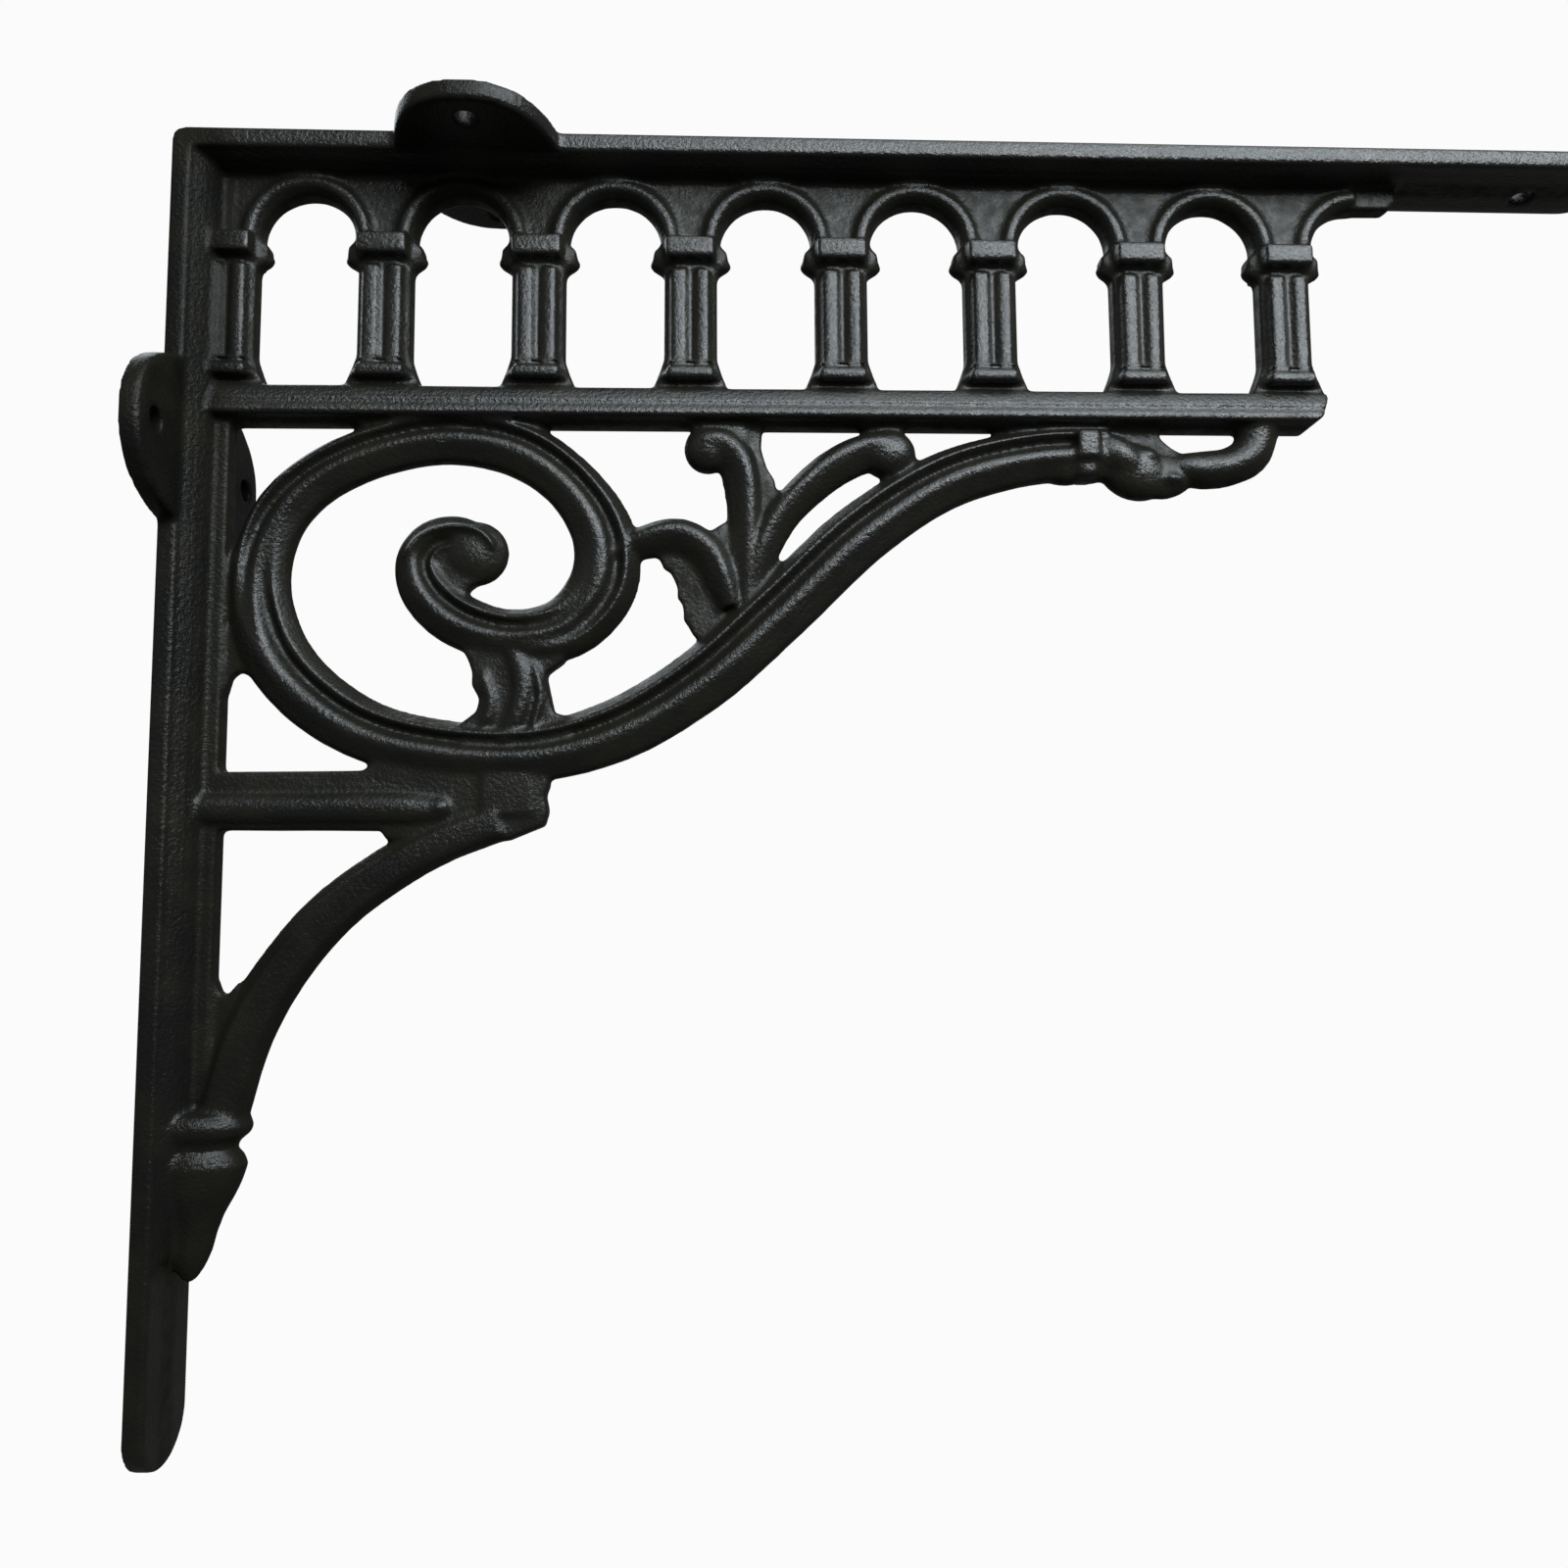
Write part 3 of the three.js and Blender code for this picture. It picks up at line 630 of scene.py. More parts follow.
@dataclass
class Scrollwork:
    """The ribs below the rail, from the knot under the arm to the drop on the leg."""

    strand_width: float = 13.9
    stem_width: float = 9.2
    brace_width: float = 11.4
    strip_width: float = 12.5
    strip_length: float = 222.0
    strip_inner: float = 2.4
    strip_top: float = 4.8
    web: float = 5.6
    thin_web: float = 2.4
    corner_web: float = 3.6
    drop_axis: float = 8.6
    drop_flatness: float = 0.58
    strand_form: Moulding = Moulding(4.9, (
        (-1, 0), (-0.9, 0.28), (-0.75, 0.6), (-0.63, 0.83), (-0.56, 0.88), (-0.48, 0.78),
        (-0.4, 0.54), (-0.33, 0.4), (-0.26, 0.38), (-0.18, 0.54), (-0.08, 0.82), (0.02, 0.94),
        (0.14, 1), (0.26, 1), (0.36, 0.96), (0.44, 0.87), (0.6, 0.73), (0.85, 0.51), (0.95, 0.38),
        (1, 0),
    ))
    ridge_form: Moulding = Moulding(4.6, (
        (-1, 0), (-0.9, 0.26), (-0.6, 0.56), (-0.25, 0.83), (-0.02, 0.95), (0.12, 0.99), (0.25, 1),
        (0.38, 0.98), (0.52, 0.9), (0.72, 0.66), (0.9, 0.34), (1, 0),
    ))
    round_form: Moulding = Moulding(4.2, (
        (-1, 0), (-0.86, 0.42), (-0.65, 0.76), (-0.35, 0.96), (0, 1), (0.35, 0.96), (0.65, 0.76),
        (0.86, 0.42), (1, 0),
    ))
    flat_form: Moulding = Moulding(4.2, (
        (-1, 0), (-0.85, 0.34), (-0.6, 0.6), (-0.42, 0.9), (-0.3, 0.99), (0.3, 1), (0.7, 0.94),
        (0.88, 0.55), (1, 0),
    ))

    def pour(self, mould: Mould) -> None:
        """Puts the scrollwork in the mould."""
        pieces = [
            self.strand(), *self.head(), *self.stems(), *self.knot(), *self.leaf(),
            *self.lower_bar(), self.lower_brace(), *self.corner_webs(), self.leg_strip(),
            self.drop(),
        ]
        for piece in pieces:
            mould.add(piece)

    @staticmethod
    def rib(points: Sequence[Place], form: Moulding, width: float, *counts: int) -> Shape:
        """A rib along a smooth line through points given in grid squares."""
        return band(Trace.through(points), form, width, *counts)

    def strand(self) -> Shape:
        """The double rib down the brace, round the great ring and into the curl.

        Its thin rib runs inside on the brace and on the curl, and outside over the ring's top.
        """
        brace = [
            (21.2, 7.05), (19.5, 7.13), (17.5, 7.66, 1.05), (15.5, 8.92, 1.12), (13.5, 10.8, 1.15),
            (11.8, 12.34, 1.13), (10, 13.45, 1.1), (8.2, 13.98, 1.04),
        ]
        ring = [
            (6.2, 13.95), (4.3, 13.5, 1.06), (2.95, 12.6, 1.12), (2.2, 11.6, 1.14, 0),
            (1.88, 10.1, 1.04, 0.5), (2.22, 8.7, 0.98, 0.95), (3.04, 7.77, 0.94, 1),
            (4.45, 7.07, 0.93, 1), (6.1, 6.77, 0.95, 1), (7.7, 7.07, 1, 1),
        ]
        curl = [
            (8.9, 7.95, 1, 1), (9.57, 9.1, 1.12, 1), (9.55, 10.2, 1.2, 0.9),
            (8.75, 11.16, 1.12, 0.5), (7.5, 11.36, 0.94, 0.1), (6.25, 10.97, 0.96),
            (5.54, 10.25, 0.9), (5.42, 9.62, 0.8), (5.76, 9.18, 0.76), (6.35, 9.1, 0.72),
            (6.8, 9.4, 0.6), (6.85, 9.75, 0.4),
        ]
        return self.rib([*brace, *ring, *curl], self.strand_form, self.strand_width, 420, 48)

    def stems(self) -> list[Shape]:
        """The stems that spring from the brace, with their hooked tips and the torn web."""
        arched = [
            (9.7, 9.6, 0.5), (10.4, 9.24, 0.9), (11.25, 9.08, 1.05), (11.88, 9.44, 1.05),
            (12.2, 10.05), (12.42, 10.75, 0.75),
        ]
        flank = [(12.8, 10.7, 0.8), (12.78, 9.6), (12.76, 8.3), (12.6, 7.3, 1.1), (12.4, 6.4, 1.5)]
        middle = [
            (12.74, 10.8, 0.6, 1), (12.78, 9.6, 0.8, 1), (12.79, 8.4, 0.95, 1), (12.75, 7.8, 1, 1),
            (12.58, 7.3, 1.1, 1), (12.2, 6.98, 1.15, 1), (11.86, 7, 1, 1), (11.6, 7.1, 0.7, 1),
        ]
        right = [
            (12.98, 10.6, 0.5), (13.18, 9.5, 0.85), (13.6, 8.62, 0.95), (14.2, 7.95),
            (14.8, 7.46, 1.05), (15.45, 7.12, 1.08), (16, 7.02, 1), (16.35, 7.25, 0.8),
        ]
        torn = [
            (10.7, 9.4), (10.82, 9.62), (10.9, 9.84), (11.05, 9.9), (11.14, 10.08), (11.22, 10.3),
            (11.2, 10.5), (11.32, 10.64), (11.36, 10.84), (11.34, 11), (11.46, 11.16), (11.6, 11.4),
            (12.3, 11.45), (12.2, 9.6), (11.4, 9.1),
        ]
        return [
            self.rib(arched, self.ridge_form, self.stem_width, 60),
            self.rib(flank, replace(self.round_form, relief=2.9), self.stem_width, 50),
            self.rib(middle, self.ridge_form, self.stem_width, 60),
            self.rib(right, self.ridge_form, self.stem_width, 60),
            grid_plate(torn, self.thin_web),
            bulb(11.92, 7.02, 0.56, 0.58, 4.3),
            bulb(16.1, 7.1, 0.66, 0.6, 4.7),
        ]

    def knot(self) -> list[Shape]:
        """The collar round the brace, the bud that hangs under the rail, and its tail."""
        filling = [
            (20.8, 6.4), (22.5, 6.4), (22.48, 6.68), (22.7, 6.88), (23, 7.06), (22.6, 7.4),
            (21, 7.4),
        ]
        tail = [
            (22.75, 7.38, 0.7, 0.6), (23, 7.4, 0.9, 0.6), (23.5, 7.42, 1.08, 0.6),
            (24.1, 7.33, 1.08, 0.6), (24.62, 7.02, 1.15, 0.6), (24.84, 6.4, 1.2, 0.5),
        ]
        return [
            block((20.67 * GRID, -7.2 * GRID), 7.4, 12.8, 4.4, 1.6),
            block((20.67 * GRID, -6.98 * GRID), 7.2, 8.6, 6.0, 0.8),
            grid_plate(filling, 3.2, 0.6),
            self.rib(tail, self.ridge_form, self.stem_width, 50),
            bulb(21.46, 7.2, 0.78, 0.46, 5.8, 38.0),
            bulb(21.85, 7.5, 0.86, 0.66, 4.7, 20.0),
            bulb(22.5, 7.58, 0.78, 0.56, 3.3, -5.0),
            bulb(22.12, 7.2, 0.34, 0.24, 4.7, 20.0),
            bulb(22.68, 7.72, 0.4, 0.2, 4.4, 5.0),
            bulb(20.2, 7.4, 0.66, 0.42, 3.6),
        ]

    def leaf(self) -> list[Shape]:
        """The curled leaf that ties the curl to the bottom of the ring."""
        blade = [
            (6.4, 11.7), (6.55, 12), (6.63, 12.25), (6.62, 12.52), (6.8, 12.83), (6.74, 13.1),
            (6.4, 13.36), (6.4, 13.9), (8.9, 13.9), (8.9, 13.22), (8.5, 13.12), (8.4, 12.67),
            (8.32, 12.28), (8.7, 12), (8.7, 11.6),
        ]
        blade_rib = [(7.45, 11.6, 0.8), (7.72, 12.1), (7.8, 12.65), (7.68, 13.2), (7.35, 13.8, 0.8)]
        left_lobe = [(6.85, 12, 0.6), (6.95, 12.4), (7.1, 12.85), (7.02, 13.3), (6.8, 13.65, 0.6)]
        right_edge = [(7.85, 11.8, 0.6), (8.1, 12.25), (8.2, 12.8), (8.08, 13.35), (8, 13.85, 0.7)]
        return [
            grid_plate(blade, 5.4, 0.9),
            self.rib(blade_rib, replace(self.round_form, relief=4.2), 7.0, 36, 16),
            self.rib(left_lobe, replace(self.round_form, relief=3.7), 4.6, 36, 16),
            self.rib(right_edge, replace(self.round_form, relief=4.0), 3.2, 36, 16),
        ]

    def head(self) -> list[Shape]:
        """The rounded head of the curl with the fine rim over its top."""
        crotch = [(5.8, 9.5), (6.6, 9.3), (7.0, 10.05), (6.6, 10.3), (6.45, 10.5), (5.9, 10.6)]
        rim = [
            (5.16, 9.95, 0.4), (5.26, 9.5), (5.52, 9.18), (5.9, 9), (6.4, 8.95), (6.85, 9.08),
            (7.12, 9.4, 0.9), (7.16, 9.65, 0.4),
        ]
        return [
            bulb(6.68, 9.48, 0.76, 0.76, 4.0),
            grid_plate(crotch, 4.8, 0.9),
            self.rib(rim, replace(self.round_form, relief=4.8), 2.8, 60, 12),
        ]

    def lower_bar(self) -> list[Shape]:
        """The bar below the ring, its rounded rib and the squared block at its end."""
        panel = [
            (0.5, 14.42), (4.3, 14.4), (4.9, 14), (8.1, 13.9), (8.42, 14.75), (8.33, 15),
            (8.4, 15.35), (8.3, 15.68), (7.5, 16), (6.4, 16.1), (4.8, 15.95), (4.7, 15.78),
            (0.5, 15.74),
        ]
        rib = [(0.6, 15.27), (3.0, 15.27), (5.2, 15.28), (6.1, 15.3, 0.8)]
        return [
            grid_plate(panel, self.web, 0.9),
            self.rib(rib, replace(self.round_form, relief=4.9), 9.4, 60, 24),
            bulb(6.02, 15.26, 0.34, 0.3, 4.6),
            block((7.5 * GRID, -14.95 * GRID), 17.0, 15.0, 3.5, 2.4),
        ]

    def lower_brace(self) -> Shape:
        """The flat-faced brace that curves from the block down to the leg."""
        line = [
            (7.3, 15.5, 0.94), (6, 15.98, 0.98), (4.9, 16.6), (3.65, 17.55, 1.04),
            (2.65, 18.75, 1.08), (1.88, 20.1, 1.16), (1.36, 21.8, 1.2),
        ]
        return self.rib(line, self.flat_form, self.brace_width, 120)

    def corner_webs(self) -> list[Shape]:
        """Small webs left in the sharp corners where two bars meet."""
        corners = [
            [
                (12.6, 6.4), (13.2, 6.4), (13.17, 7), (13.3, 7.45), (13.48, 7.72), (13.6, 8.4),
                (12.8, 9),
            ],
            [(10.1, 9.1), (10.3, 8.85), (10.8, 8.68), (11.5, 9.2), (10.3, 9.6)],
            [(12.0, 8.9), (12.32, 8.7), (12.6, 9.6), (12.3, 9.8)],
            [(1.0, 11.2), (1.28, 12.7), (1.34, 12.36), (1.5, 12.22), (1.72, 12.3), (1.8, 11.2)],
            [(1, 18.9), (1.28, 19), (1.36, 19.26), (1.48, 19.28), (1.7, 19), (1.9, 19.8), (1, 20.6)],
        ]
        return [grid_plate(corner, self.corner_web, 0.9) for corner in corners]

    def leg_strip(self) -> Shape:
        """The edge of the web that runs down the leg."""
        inner, outer = self.strip_inner, self.strip_width
        top, foot = -self.strip_top, -self.strip_length
        return plate([(inner, top), (outer, top), (outer, foot), (inner, foot)], self.web, 1.0)

    def drop(self) -> Shape:
        """The turned drop that ends the web on the leg, flattened and let into it."""
        profile = [
            (0, 21.72), (0.78, 21.74), (1.06, 21.8), (1.2, 21.93), (1.27, 22.1), (1.2, 22.27),
            (1, 22.42), (0.93, 22.56), (1.08, 22.7), (1.17, 22.92), (1.1, 23.16), (1, 23.42),
            (0.86, 23.7), (0.7, 24), (0.58, 24.35), (0.5, 24.7), (0.36, 25.05), (0.18, 25.32),
            (0, 25.42),
        ]
        bm = bmesh.new()
        line = [bm.verts.new((radius * GRID, 0.0, -down * GRID)) for radius, down in profile]
        edges = [bm.edges.new(pair) for pair in zip(line, line[1:])]
        bmesh.ops.spin(
            bm, geom=line + edges, cent=(0.0, 0.0, 0.0), axis=(0.0, 0.0, 1.0), dvec=(0.0, 0.0, 0.0),
            angle=2.0 * math.pi, steps=40, use_merge=True,
        )
        bmesh.ops.remove_doubles(bm, verts=bm.verts[:], dist=1e-3)
        bmesh.ops.scale(bm, verts=bm.verts[:], vec=(1.0, self.drop_flatness, 1.0))
        bmesh.ops.translate(bm, verts=bm.verts[:], vec=(self.drop_axis, 0.0, 0.0))
        bmesh.ops.bisect_plane(
            bm, geom=everything(bm), dist=1e-5, plane_co=(self.strip_inner, 0.0, 0.0),
            plane_no=(1.0, 0.0, 0.0), clear_inner=True,
        )
        close_rims(bm)
        return bm


def linked(name: str, data: bpy.types.ID) -> bpy.types.Object:
    """A new object with the given data, linked to the scene."""
    made = bpy.data.objects.new(name, data)
    bpy.context.scene.collection.objects.link(made)
    return made


def as_object(bm: Shape, name: str) -> bpy.types.Object:
    """A new object with the given shape; the shape itself is freed."""
    mesh = bpy.data.meshes.new(name)
    bm.to_mesh(mesh)
    bm.free()
    return linked(name, mesh)


def modified(bm: Shape, kind: str, **settings: object) -> bpy.types.Mesh:
    """A shape as a mesh with a modifier of one kind applied; the shape itself is freed."""
    thing = as_object(bm, kind.lower())
    modifier = thing.modifiers.new(kind.lower(), kind)
    for name, value in settings.items():
        setattr(modifier, name, value)
    graph = bpy.context.evaluated_depsgraph_get()
    mesh = bpy.data.meshes.new_from_object(thing.evaluated_get(graph))
    discard(thing)
    return mesh


def discard(thing: bpy.types.Object) -> None:
    """Removes a working object and its mesh."""
    mesh = thing.data
    bpy.data.objects.remove(thing)
    bpy.data.meshes.remove(mesh)


def fill(node: bpy.types.Node, values: dict[int | str, Socket | float | Place]) -> bpy.types.Node:
    """Wires or sets a node's inputs, each from a socket or from a plain value."""
    for name, value in values.items():
        if isinstance(value, Socket):
            node.id_data.links.new(value, node.inputs[name])
        else:
            node.inputs[name].default_value = value
    return node


class NodeSheet:
    """The nodes of a material, which read the casting's Object coordinates."""

    def __init__(self, material: bpy.types.Material) -> None:
        """Switches the material's nodes on."""
        material.use_nodes = True
        self.nodes = material.node_tree.nodes
        self.place = self.nodes.new("ShaderNodeTexCoord").outputs["Object"]

    def reckoned(self, kind: str, operation: str, *values: Socket | Place) -> bpy.types.Node:
        """A new node that puts values through a sum."""
        node = self.nodes.new(kind)
        node.operation = operation
        return fill(node, dict(enumerate(values)))

    def combined(self, operation: str, *values: Socket) -> Socket:
        """One or two numbers put through a sum."""
        return self.reckoned("ShaderNodeMath", operation, *values).outputs["Value"]

    def cloud(self, size: float, detail: float, roughness: float = 0.5) -> Socket:
        """A noise whose patches have the given size in metres."""
        values = {"Scale": 1.0 / size, "Detail": detail, "Roughness": roughness}
        noises = fill(self.nodes.new("ShaderNodeTexNoise"), {"Vector": self.place, **values})
        return noises.outputs["Fac"]

    def spread(self, value: Socket, blend: Blend) -> Socket:
        """The value read over a blend, without running past either end."""
        ends = dict(zip(("From Min", "From Max", "To Min", "To Max"), blend))
        return fill(self.nodes.new("ShaderNodeMapRange"), {"Value": value, **ends}).outputs["Result"]

    def mixed(self, share: Socket, first: Place | Socket, second: Place) -> Socket:
        """A colour between two others."""
        node = self.nodes.new("ShaderNodeMix")
        node.data_type = "RGBA"
        return fill(node, {"Factor": share, "A": first, "B": second}).outputs["Result"]

    def distance_seen(self, centre: Place) -> Socket:
        """How far the place is from another as seen from the front, in metres."""
        flat = self.reckoned("ShaderNodeVectorMath", "MULTIPLY", self.place, (1.0, 0.0, 1.0))
        reach = self.reckoned("ShaderNodeVectorMath", "DISTANCE", flat.outputs["Vector"], centre)
        return reach.outputs["Value"]


@dataclass(frozen=True)
class CastIron:
    """Dark waxed cast iron with a sand-cast grain, dusty in its hollows, worn on its ridges, and
    dimmed by painted shade.

    All lengths are in metres.

    Args:
        dirty, patchy: where the hollows are dusty and painted with shade, by the relief and by the
            gaps in it.
        beside_wall, below_lug: the painted shade on the leg, by the distance from the wall and the
            height.
        under_arm, off_rim: the painted shade under the arm, by the height and the relief.
        smear, smeared: the middle of the painted shadow under the near lug, and its edge.
        low_down: the painted shade that grows towards the bottom.
    """

    dark: Colour = (0.0070, 0.0072, 0.0062, 1.0)
    dusty: Colour = (0.0130, 0.0125, 0.0085, 1.0)
    worn: Colour = (0.018, 0.019, 0.019, 1.0)
    metallic: float = 0.0
    grain_size: float = 0.0009
    grain_depth: float = 0.0004
    blotch_size: float = 0.014
    patch_size: float = 0.003
    gloss_size: float = 0.004
    blotches: Blend = (0.38, 0.66, 0.0, 1.0)
    wear: Blend = (0.6, 0.85, 0.0, 1.0)
    speckle: Blend = (0.42, 0.62, 0.25, 1.0)
    hollow_dust_and_shade: Blend = (0.0018, 0.0043, 1.0, 0.0)
    patchy: Blend = (0.35, 0.65, 0.45, 1.0)
    # Painted shade, which takes the shine off the iron
    beside_wall: Blend = (0.0105, 0.016, 1.0, 0.0)
    below_lug: Blend = (-0.16, 0.02, 0.0, 1.0)
    painted_lug_shadow: Triple = (0.0672, 0.0, 0.0625)
    painted_lug_shadow_edge: Blend = (0.012, 0.019, 0.8, 0.0)
    under_arm: Blend = (0.055, 0.067, 0.0, 0.65)
    off_rim: Blend = (0.0065, 0.009, 1.0, 0.0)
    low_down: Blend = (-0.10, -0.07, 0.55, 0.0)
    painted_dimming: Blend = (0.0, 1.0, 1.0, 0.2)
    shine: Blend = (0.0, 1.0, 0.5, 0.12)
    gloss: Blend = (0.3, 0.7, 0.22, 0.33)
    rough: Blend = (0.0, 1.0, 0.0, 0.16)
    strong: Blend = (0.0, 1.0, 0.65, 0.4)

    def material(self) -> bpy.types.Material:
        """The node material, which reads Object coordinates and the casting's ridge value."""
        iron = bpy.data.materials.new("waxed cast iron")
        sheet = NodeSheet(iron)
        axes = fill(sheet.nodes.new("ShaderNodeSeparateXYZ"), {"Vector": sheet.place}).outputs
        relief = sheet.combined("ABSOLUTE", axes["Y"])
        patches = sheet.spread(sheet.cloud(self.patch_size, 3.0), self.patchy)
        # Dust near the parting plane: a dusty tone, and painted shade that cuts the shine there.
        dust_and_shade = sheet.combined("MULTIPLY", sheet.spread(relief, self.hollow_dust_and_shade), patches)
        # Painted shade that dims the shine.
        painted_dimming = sheet.spread(self.shade(sheet, axes["X"], relief, axes["Z"]), self.painted_dimming)
        gloss = sheet.spread(sheet.cloud(self.gloss_size, 2.0), self.gloss)
        grain = fill(sheet.nodes.new("ShaderNodeBump"), {
            "Strength": sheet.spread(dust_and_shade, self.strong),
            "Distance": self.grain_depth,
            "Height": sheet.cloud(self.grain_size, 3.0, 0.6),
        })
        fill(sheet.nodes["Principled BSDF"], {
            "Metallic": self.metallic,
            "Base Color": sheet.mixed(dust_and_shade, self.colour(sheet), self.dusty),
            # Painted shade: less shine in the dusty hollows and in the shaded places.
            "Specular IOR Level": sheet.combined("MULTIPLY", sheet.spread(dust_and_shade, self.shine), painted_dimming),
            "Roughness": sheet.combined("ADD", gloss, sheet.spread(dust_and_shade, self.rough)),
            "Normal": grain.outputs["Normal"],
        })
        return iron

    def colour(self, sheet: NodeSheet) -> Socket:
        """The colour of the iron outside the dusty hollows, blotched with dust and worn on its
        ridges.
        """
        blotches = sheet.spread(sheet.cloud(self.blotch_size, 3.0), self.blotches)
        dusted = sheet.mixed(blotches, self.dark, self.dusty)
        ridge = sheet.nodes.new("ShaderNodeAttribute")
        ridge.attribute_name = RIDGE
        wear = sheet.spread(ridge.outputs["Fac"], self.wear)
        speckle = sheet.spread(sheet.cloud(self.grain_size * 1.6, 2.0), self.speckle)
        return sheet.mixed(sheet.combined("MULTIPLY", wear, speckle), dusted, self.worn)

    def shade(self, sheet: NodeSheet, out: Socket, relief: Socket, up: Socket) -> Socket:
        """The strongest of the four painted shades at a place, which take the shine off the iron."""
        beside, below = sheet.spread(out, self.beside_wall), sheet.spread(up, self.below_lug)
        under, off = sheet.spread(up, self.under_arm), sheet.spread(relief, self.off_rim)
        # A painted shadow under the near lug.
        painted_lug_shadow = sheet.spread(sheet.distance_seen(self.painted_lug_shadow), self.painted_lug_shadow_edge)
        shaded = sheet.combined("MAXIMUM", sheet.combined("MULTIPLY", beside, below), painted_lug_shadow)
        shaded = sheet.combined("MAXIMUM", shaded, sheet.combined("MULTIPLY", under, off))
        # Painted shade, stronger towards the bottom.
        return sheet.combined("MAXIMUM", shaded, sheet.spread(up, self.low_down))


@dataclass
class Casting:
    """The whole bracket as one skin of iron.

    Args:
        low: the lowest corner of the solid, in metres.
        high: its highest corner.
        voxel: how finely the shapes are joined, in millimetres.
        rounding: how many times the corners are softened.
        waves: the width and the depth of each unevenness of the skin, in millimetres.
    """

    low: Vector
    high: Vector
    voxel: float = 0.5
    triangles: int = 180_000
    rounding: int = 5
    waves: Pairs = ((16.0, 0.25), (3.2, 0.11), (1.5, 0.06))
    ridge_gain: float = 2.0
    ridge_passes: int = 3
    finish: CastIron = CastIron()

    def build(self) -> bpy.types.Object:
        """Pours the parts together, softens the skin, roughens it and sets it in its place."""
        mould = Mould()
        leg = (self.high.z - self.low.z) / MM
        arm = (self.high.x - self.low.x) / MM
        Strips(leg_length=leg, arm_length=arm).pour(mould)
        Arcade().pour(mould)
        Scrollwork().pour(mould)
        skin = modified(mould.shapes, "REMESH", mode="VOXEL", voxel_size=self.voxel)
        share = self.triangles / self.triangle_count(skin)
        mesh = modified(self.rounded(skin), "DECIMATE", ratio=min(1.0, share))
        self.roughen(mesh)
        self.mark_ridges(mesh)
        scale = Matrix.Diagonal((MM, MM, MM, 1.0))
        mesh.transform(Matrix.Translation((0.0, 0.0, self.high.z)) @ scale)
        mesh.polygons.foreach_set("use_smooth", [True] * len(mesh.polygons))
        mesh.materials.append(self.finish.material())
        mesh.name = "casting"
        log.info("casting has %d triangles", self.triangle_count(mesh))
        return linked("iron_casting", mesh)

    @staticmethod
    def triangle_count(mesh: bpy.types.Mesh) -> int:
        """How many triangles the mesh's faces come to."""
        return sum(len(face.vertices) - 2 for face in mesh.polygons)

    def rounded(self, mesh: bpy.types.Mesh) -> Shape:
        """The mesh as a shape with softened corners, as sand casting leaves them."""
        bm = bmesh.new()
        bm.from_mesh(mesh)
        bpy.data.meshes.remove(mesh)
        for _ in range(self.rounding):
            bmesh.ops.smooth_vert(
                bm, verts=bm.verts[:], factor=0.5, use_axis_x=True, use_axis_y=True, use_axis_z=True,
            )
        return bm

    def roughen(self, mesh: bpy.types.Mesh) -> None:
        """Sinks the skin by small uneven amounts, never outwards."""
        places, normals = self.rows(mesh, "co"), self.rows(mesh, "normal")
        depths = [self.depth(Vector(place)) for place in places]
        places -= normals * np.array(depths)[:, None]
        mesh.vertices.foreach_set("co", places.ravel())
        mesh.update()

    def depth(self, place: Vector) -> float:
        """How far the skin is sunk at a place, from nothing to all the waves' depths."""
        return sum(deep * (0.5 + 0.5 * noise.noise(place / wide)) for wide, deep in self.waves)

    @staticmethod
    def rows(mesh: bpy.types.Mesh, name: str) -> np.ndarray:
        """A three-number value of every vertex, one row each."""
        values = np.empty(len(mesh.vertices) * 3)
        mesh.vertices.foreach_get(name, values)
        return values.reshape(-1, 3)

    def mark_ridges(self, mesh: bpy.types.Mesh) -> None:
        """Writes the ridge value: under a half in hollows, over a half on ridges."""
        count = len(mesh.vertices)
        places, normals = self.rows(mesh, "co"), self.rows(mesh, "normal")
        ends = np.empty(len(mesh.edges) * 2, dtype=np.int64)
        mesh.edges.foreach_get("vertices", ends)
        first, second = ends.reshape(-1, 2).T
        reach = places[second] - places[first]
        length = np.maximum(np.linalg.norm(reach, axis=1), TINY)
        share = np.bincount(first, minlength=count) + np.bincount(second, minlength=count)
        lean = np.bincount(first, (reach * normals[first]).sum(1) / length, count)
        lean += np.bincount(second, -(reach * normals[second]).sum(1) / length, count)
        value = -lean / np.maximum(share, 1)
        for _ in range(self.ridge_passes):
            near = np.bincount(first, value[second], count) + np.bincount(second, value[first], count)
            value = 0.5 * value + 0.5 * near / np.maximum(share, 1)
        value = np.clip(0.5 + value * self.ridge_gain, 0.0, 1.0)
        ridge = mesh.attributes.new(RIDGE, "FLOAT", "POINT")
        ridge.data.foreach_set("value", value.astype(np.float32))


@dataclass(frozen=True)
class Lamp:
    """A rectangular soft light, its power in watts, and its width and height in metres."""

    name: str
    place: Triple
    power: float
    size: tuple[float, float]

    def hang(self, aim: Vector, colour: Place) -> None:
        """Puts the light in the scene, facing the given place."""
        light = bpy.data.lights.new(self.name, "AREA")
        light.shape = "RECTANGLE"
        light.size, light.size_y = self.size
        light.energy, light.color = self.power, colour
        made = linked(self.name, light)
        made.location = self.place
        made.rotation_euler = (aim - Vector(self.place)).to_track_quat("-Z", "Y").to_euler()


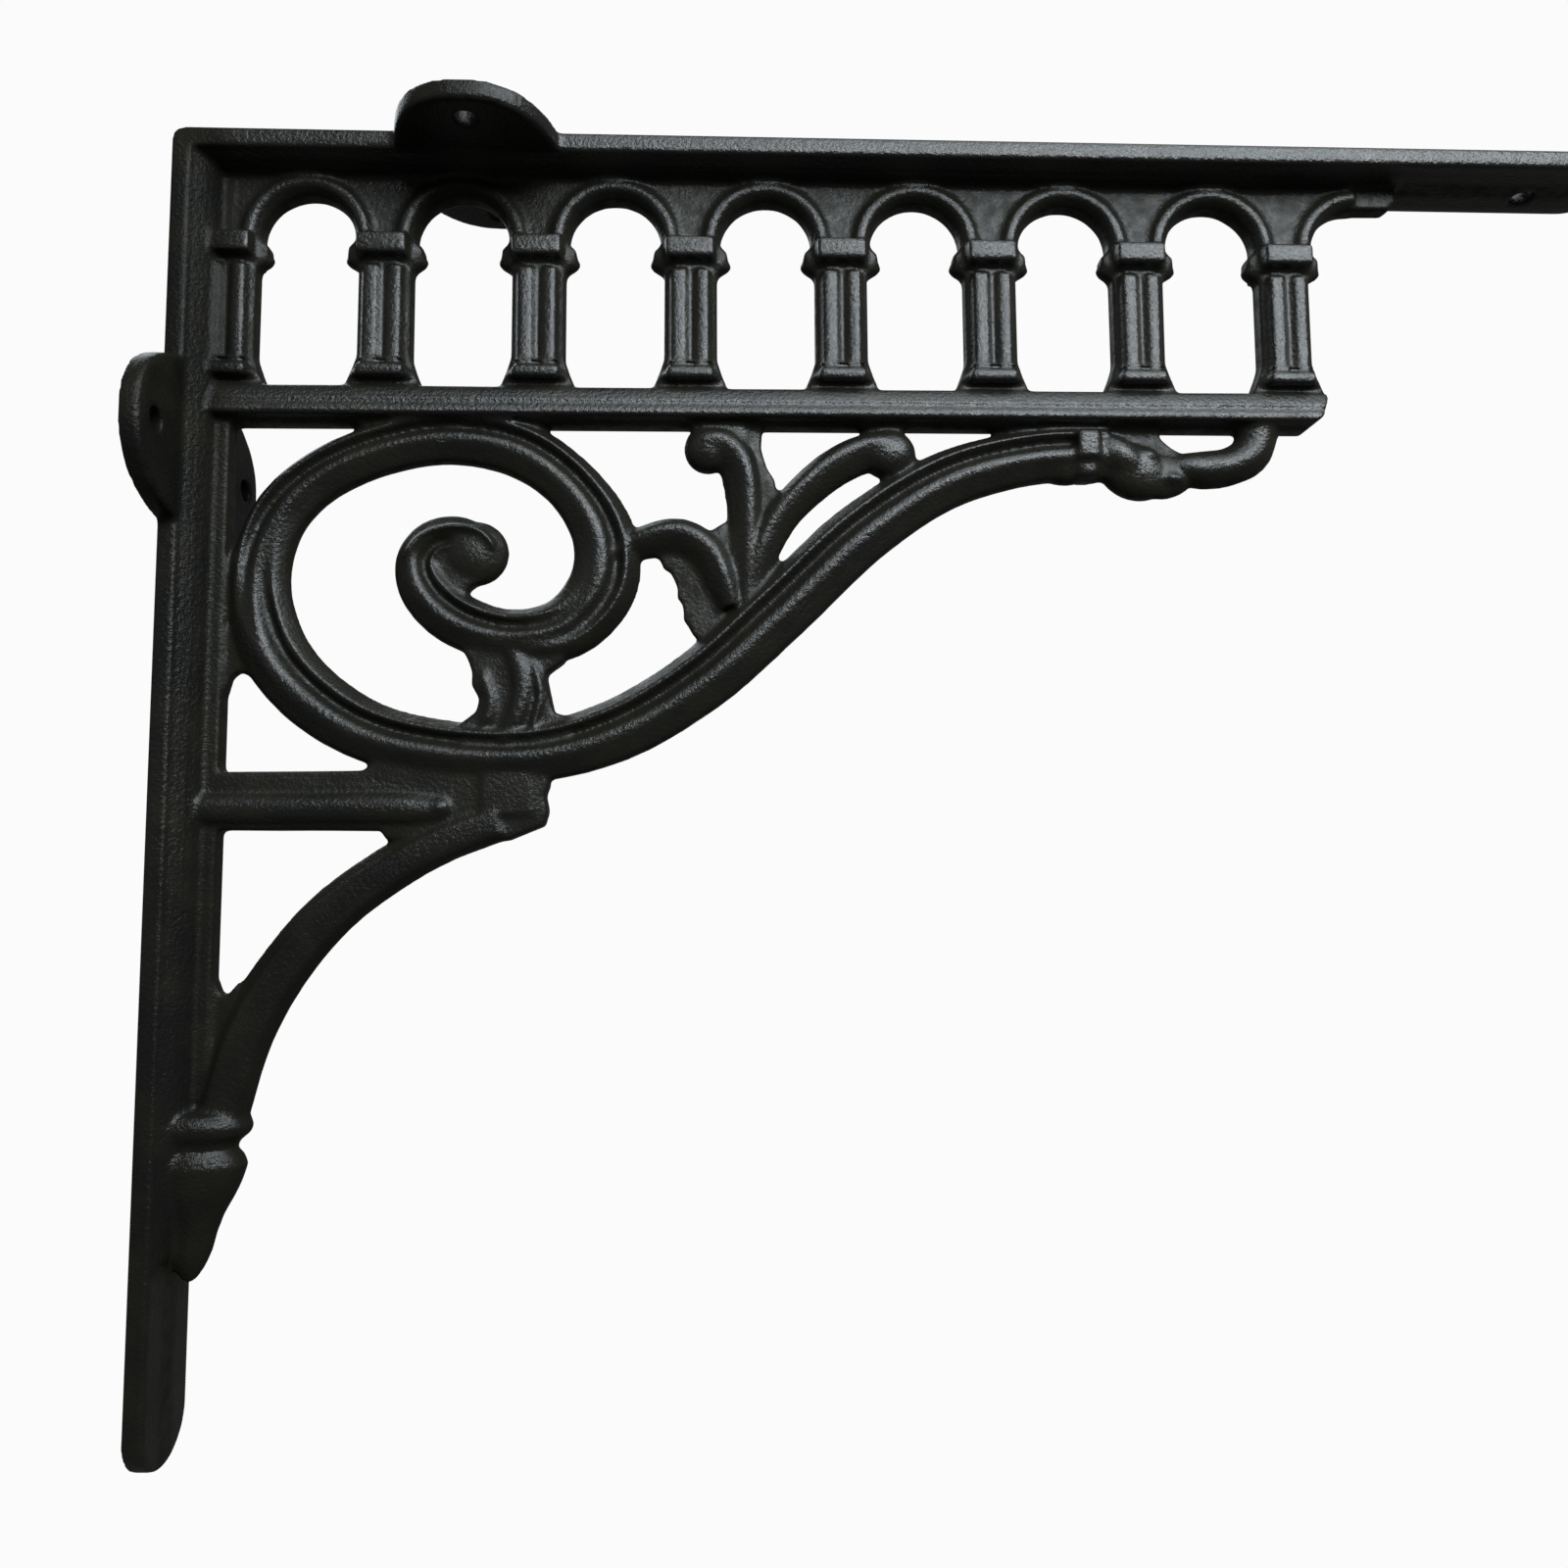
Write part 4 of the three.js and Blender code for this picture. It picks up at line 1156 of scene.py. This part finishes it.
@dataclass
class Studio:
    """The pale floor, the soft lights and the camera at the photograph's place.

    Args:
        floor_level: the height of the floor in metres.
        brightness: how strongly the floor and the room glow.
        gloom: how strongly the room shines on the iron.
    """

    floor_level: float
    lens: float = 27.0
    sensor: float = 36.0
    camera_place: Triple = (0.12952, -0.27154, -0.10108)
    camera_turn: Triple = (94.9143, 0.4163, -2.2181)
    floor_paint: Colour = (0.004, 0.004, 0.004, 1.0)
    brightness: float = 0.965
    gloom: float = 0.1
    daylight: Triple = (0.88, 0.95, 1.0)
    aim: Triple = (0.16, 0.0, -0.04)
    lamps: tuple[Lamp, ...] = (
        Lamp("key", (0.622, -1.039, 0.59), 17.0, (1.27, 0.37)),
        Lamp("top", (0.36, -0.30, 0.42), 2.6, (0.6, 0.6)),
        Lamp("fill", (-0.9, -0.6, 0.3), 0.3, (0.8, 0.8)),
        Lamp("high", (-0.02, -0.68, 0.67), 0.8, (0.35, 0.2)),
        Lamp("rear", (-0.5, 0.8, 0.9), 4.0, (0.8, 0.8)),
    )

    def build(self) -> None:
        """Makes the floor, the lights, the surroundings and the camera."""
        self.floor()
        for lamp in self.lamps:
            lamp.hang(Vector(self.aim), self.daylight)
        self.surroundings()
        self.camera()

    def floor(self) -> None:
        """A wide floor under the bracket, which glows as evenly as the photograph's backdrop."""
        bm = bmesh.new()
        bmesh.ops.create_grid(bm, x_segments=1, y_segments=1, size=30.0)
        bmesh.ops.translate(bm, verts=bm.verts[:], vec=(0.0, 0.0, self.floor_level))
        ground = as_object(bm, "floor")
        paint = bpy.data.materials.new("pale floor")
        paint.use_nodes = True
        fill(paint.node_tree.nodes["Principled BSDF"], {
            "Base Color": self.floor_paint,
            "Roughness": 0.9,
            "Specular IOR Level": 0.0,
            "Emission Color": WHITE,
            "Emission Strength": self.brightness,
        })
        ground.data.materials.append(paint)
        ground.visible_glossy = ground.visible_diffuse = False

    def surroundings(self) -> None:
        """A white room, dimmer in the iron's reflections than it looks."""
        world = bpy.data.worlds.new("white room")
        world.use_nodes = True
        nodes = world.node_tree.nodes
        seen = nodes.new("ShaderNodeLightPath").outputs["Is Camera Ray"]
        ends = {"Value": seen, "To Min": self.gloom, "To Max": self.brightness}
        strength = fill(nodes.new("ShaderNodeMapRange"), ends).outputs["Result"]
        fill(nodes["Background"], {"Color": WHITE, "Strength": strength})
        bpy.context.scene.world = world

    def camera(self) -> None:
        """The camera that took the photograph."""
        lens = bpy.data.cameras.new("camera")
        lens.lens, lens.sensor_width, lens.clip_start = self.lens, self.sensor, 0.01
        made = linked("camera", lens)
        made.location = self.camera_place
        made.rotation_euler = Euler([math.radians(angle) for angle in self.camera_turn], "XYZ")
        bpy.context.scene.camera = made
        bpy.context.scene.view_settings.view_transform = "Standard"


def main() -> None:
    """Builds the casting and the studio."""
    logging.basicConfig(level=logging.INFO, format="%(message)s")
    low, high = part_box(NODE)
    floor_gap = 0.03
    casting = Casting(low=Vector(low), high=Vector(high)).build()
    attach(casting, "root")
    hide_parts(NODE)
    log.info("placed %s", casting.name)
    Studio(floor_level=low[2] - floor_gap).build()


if __name__ == "__main__":
    main()
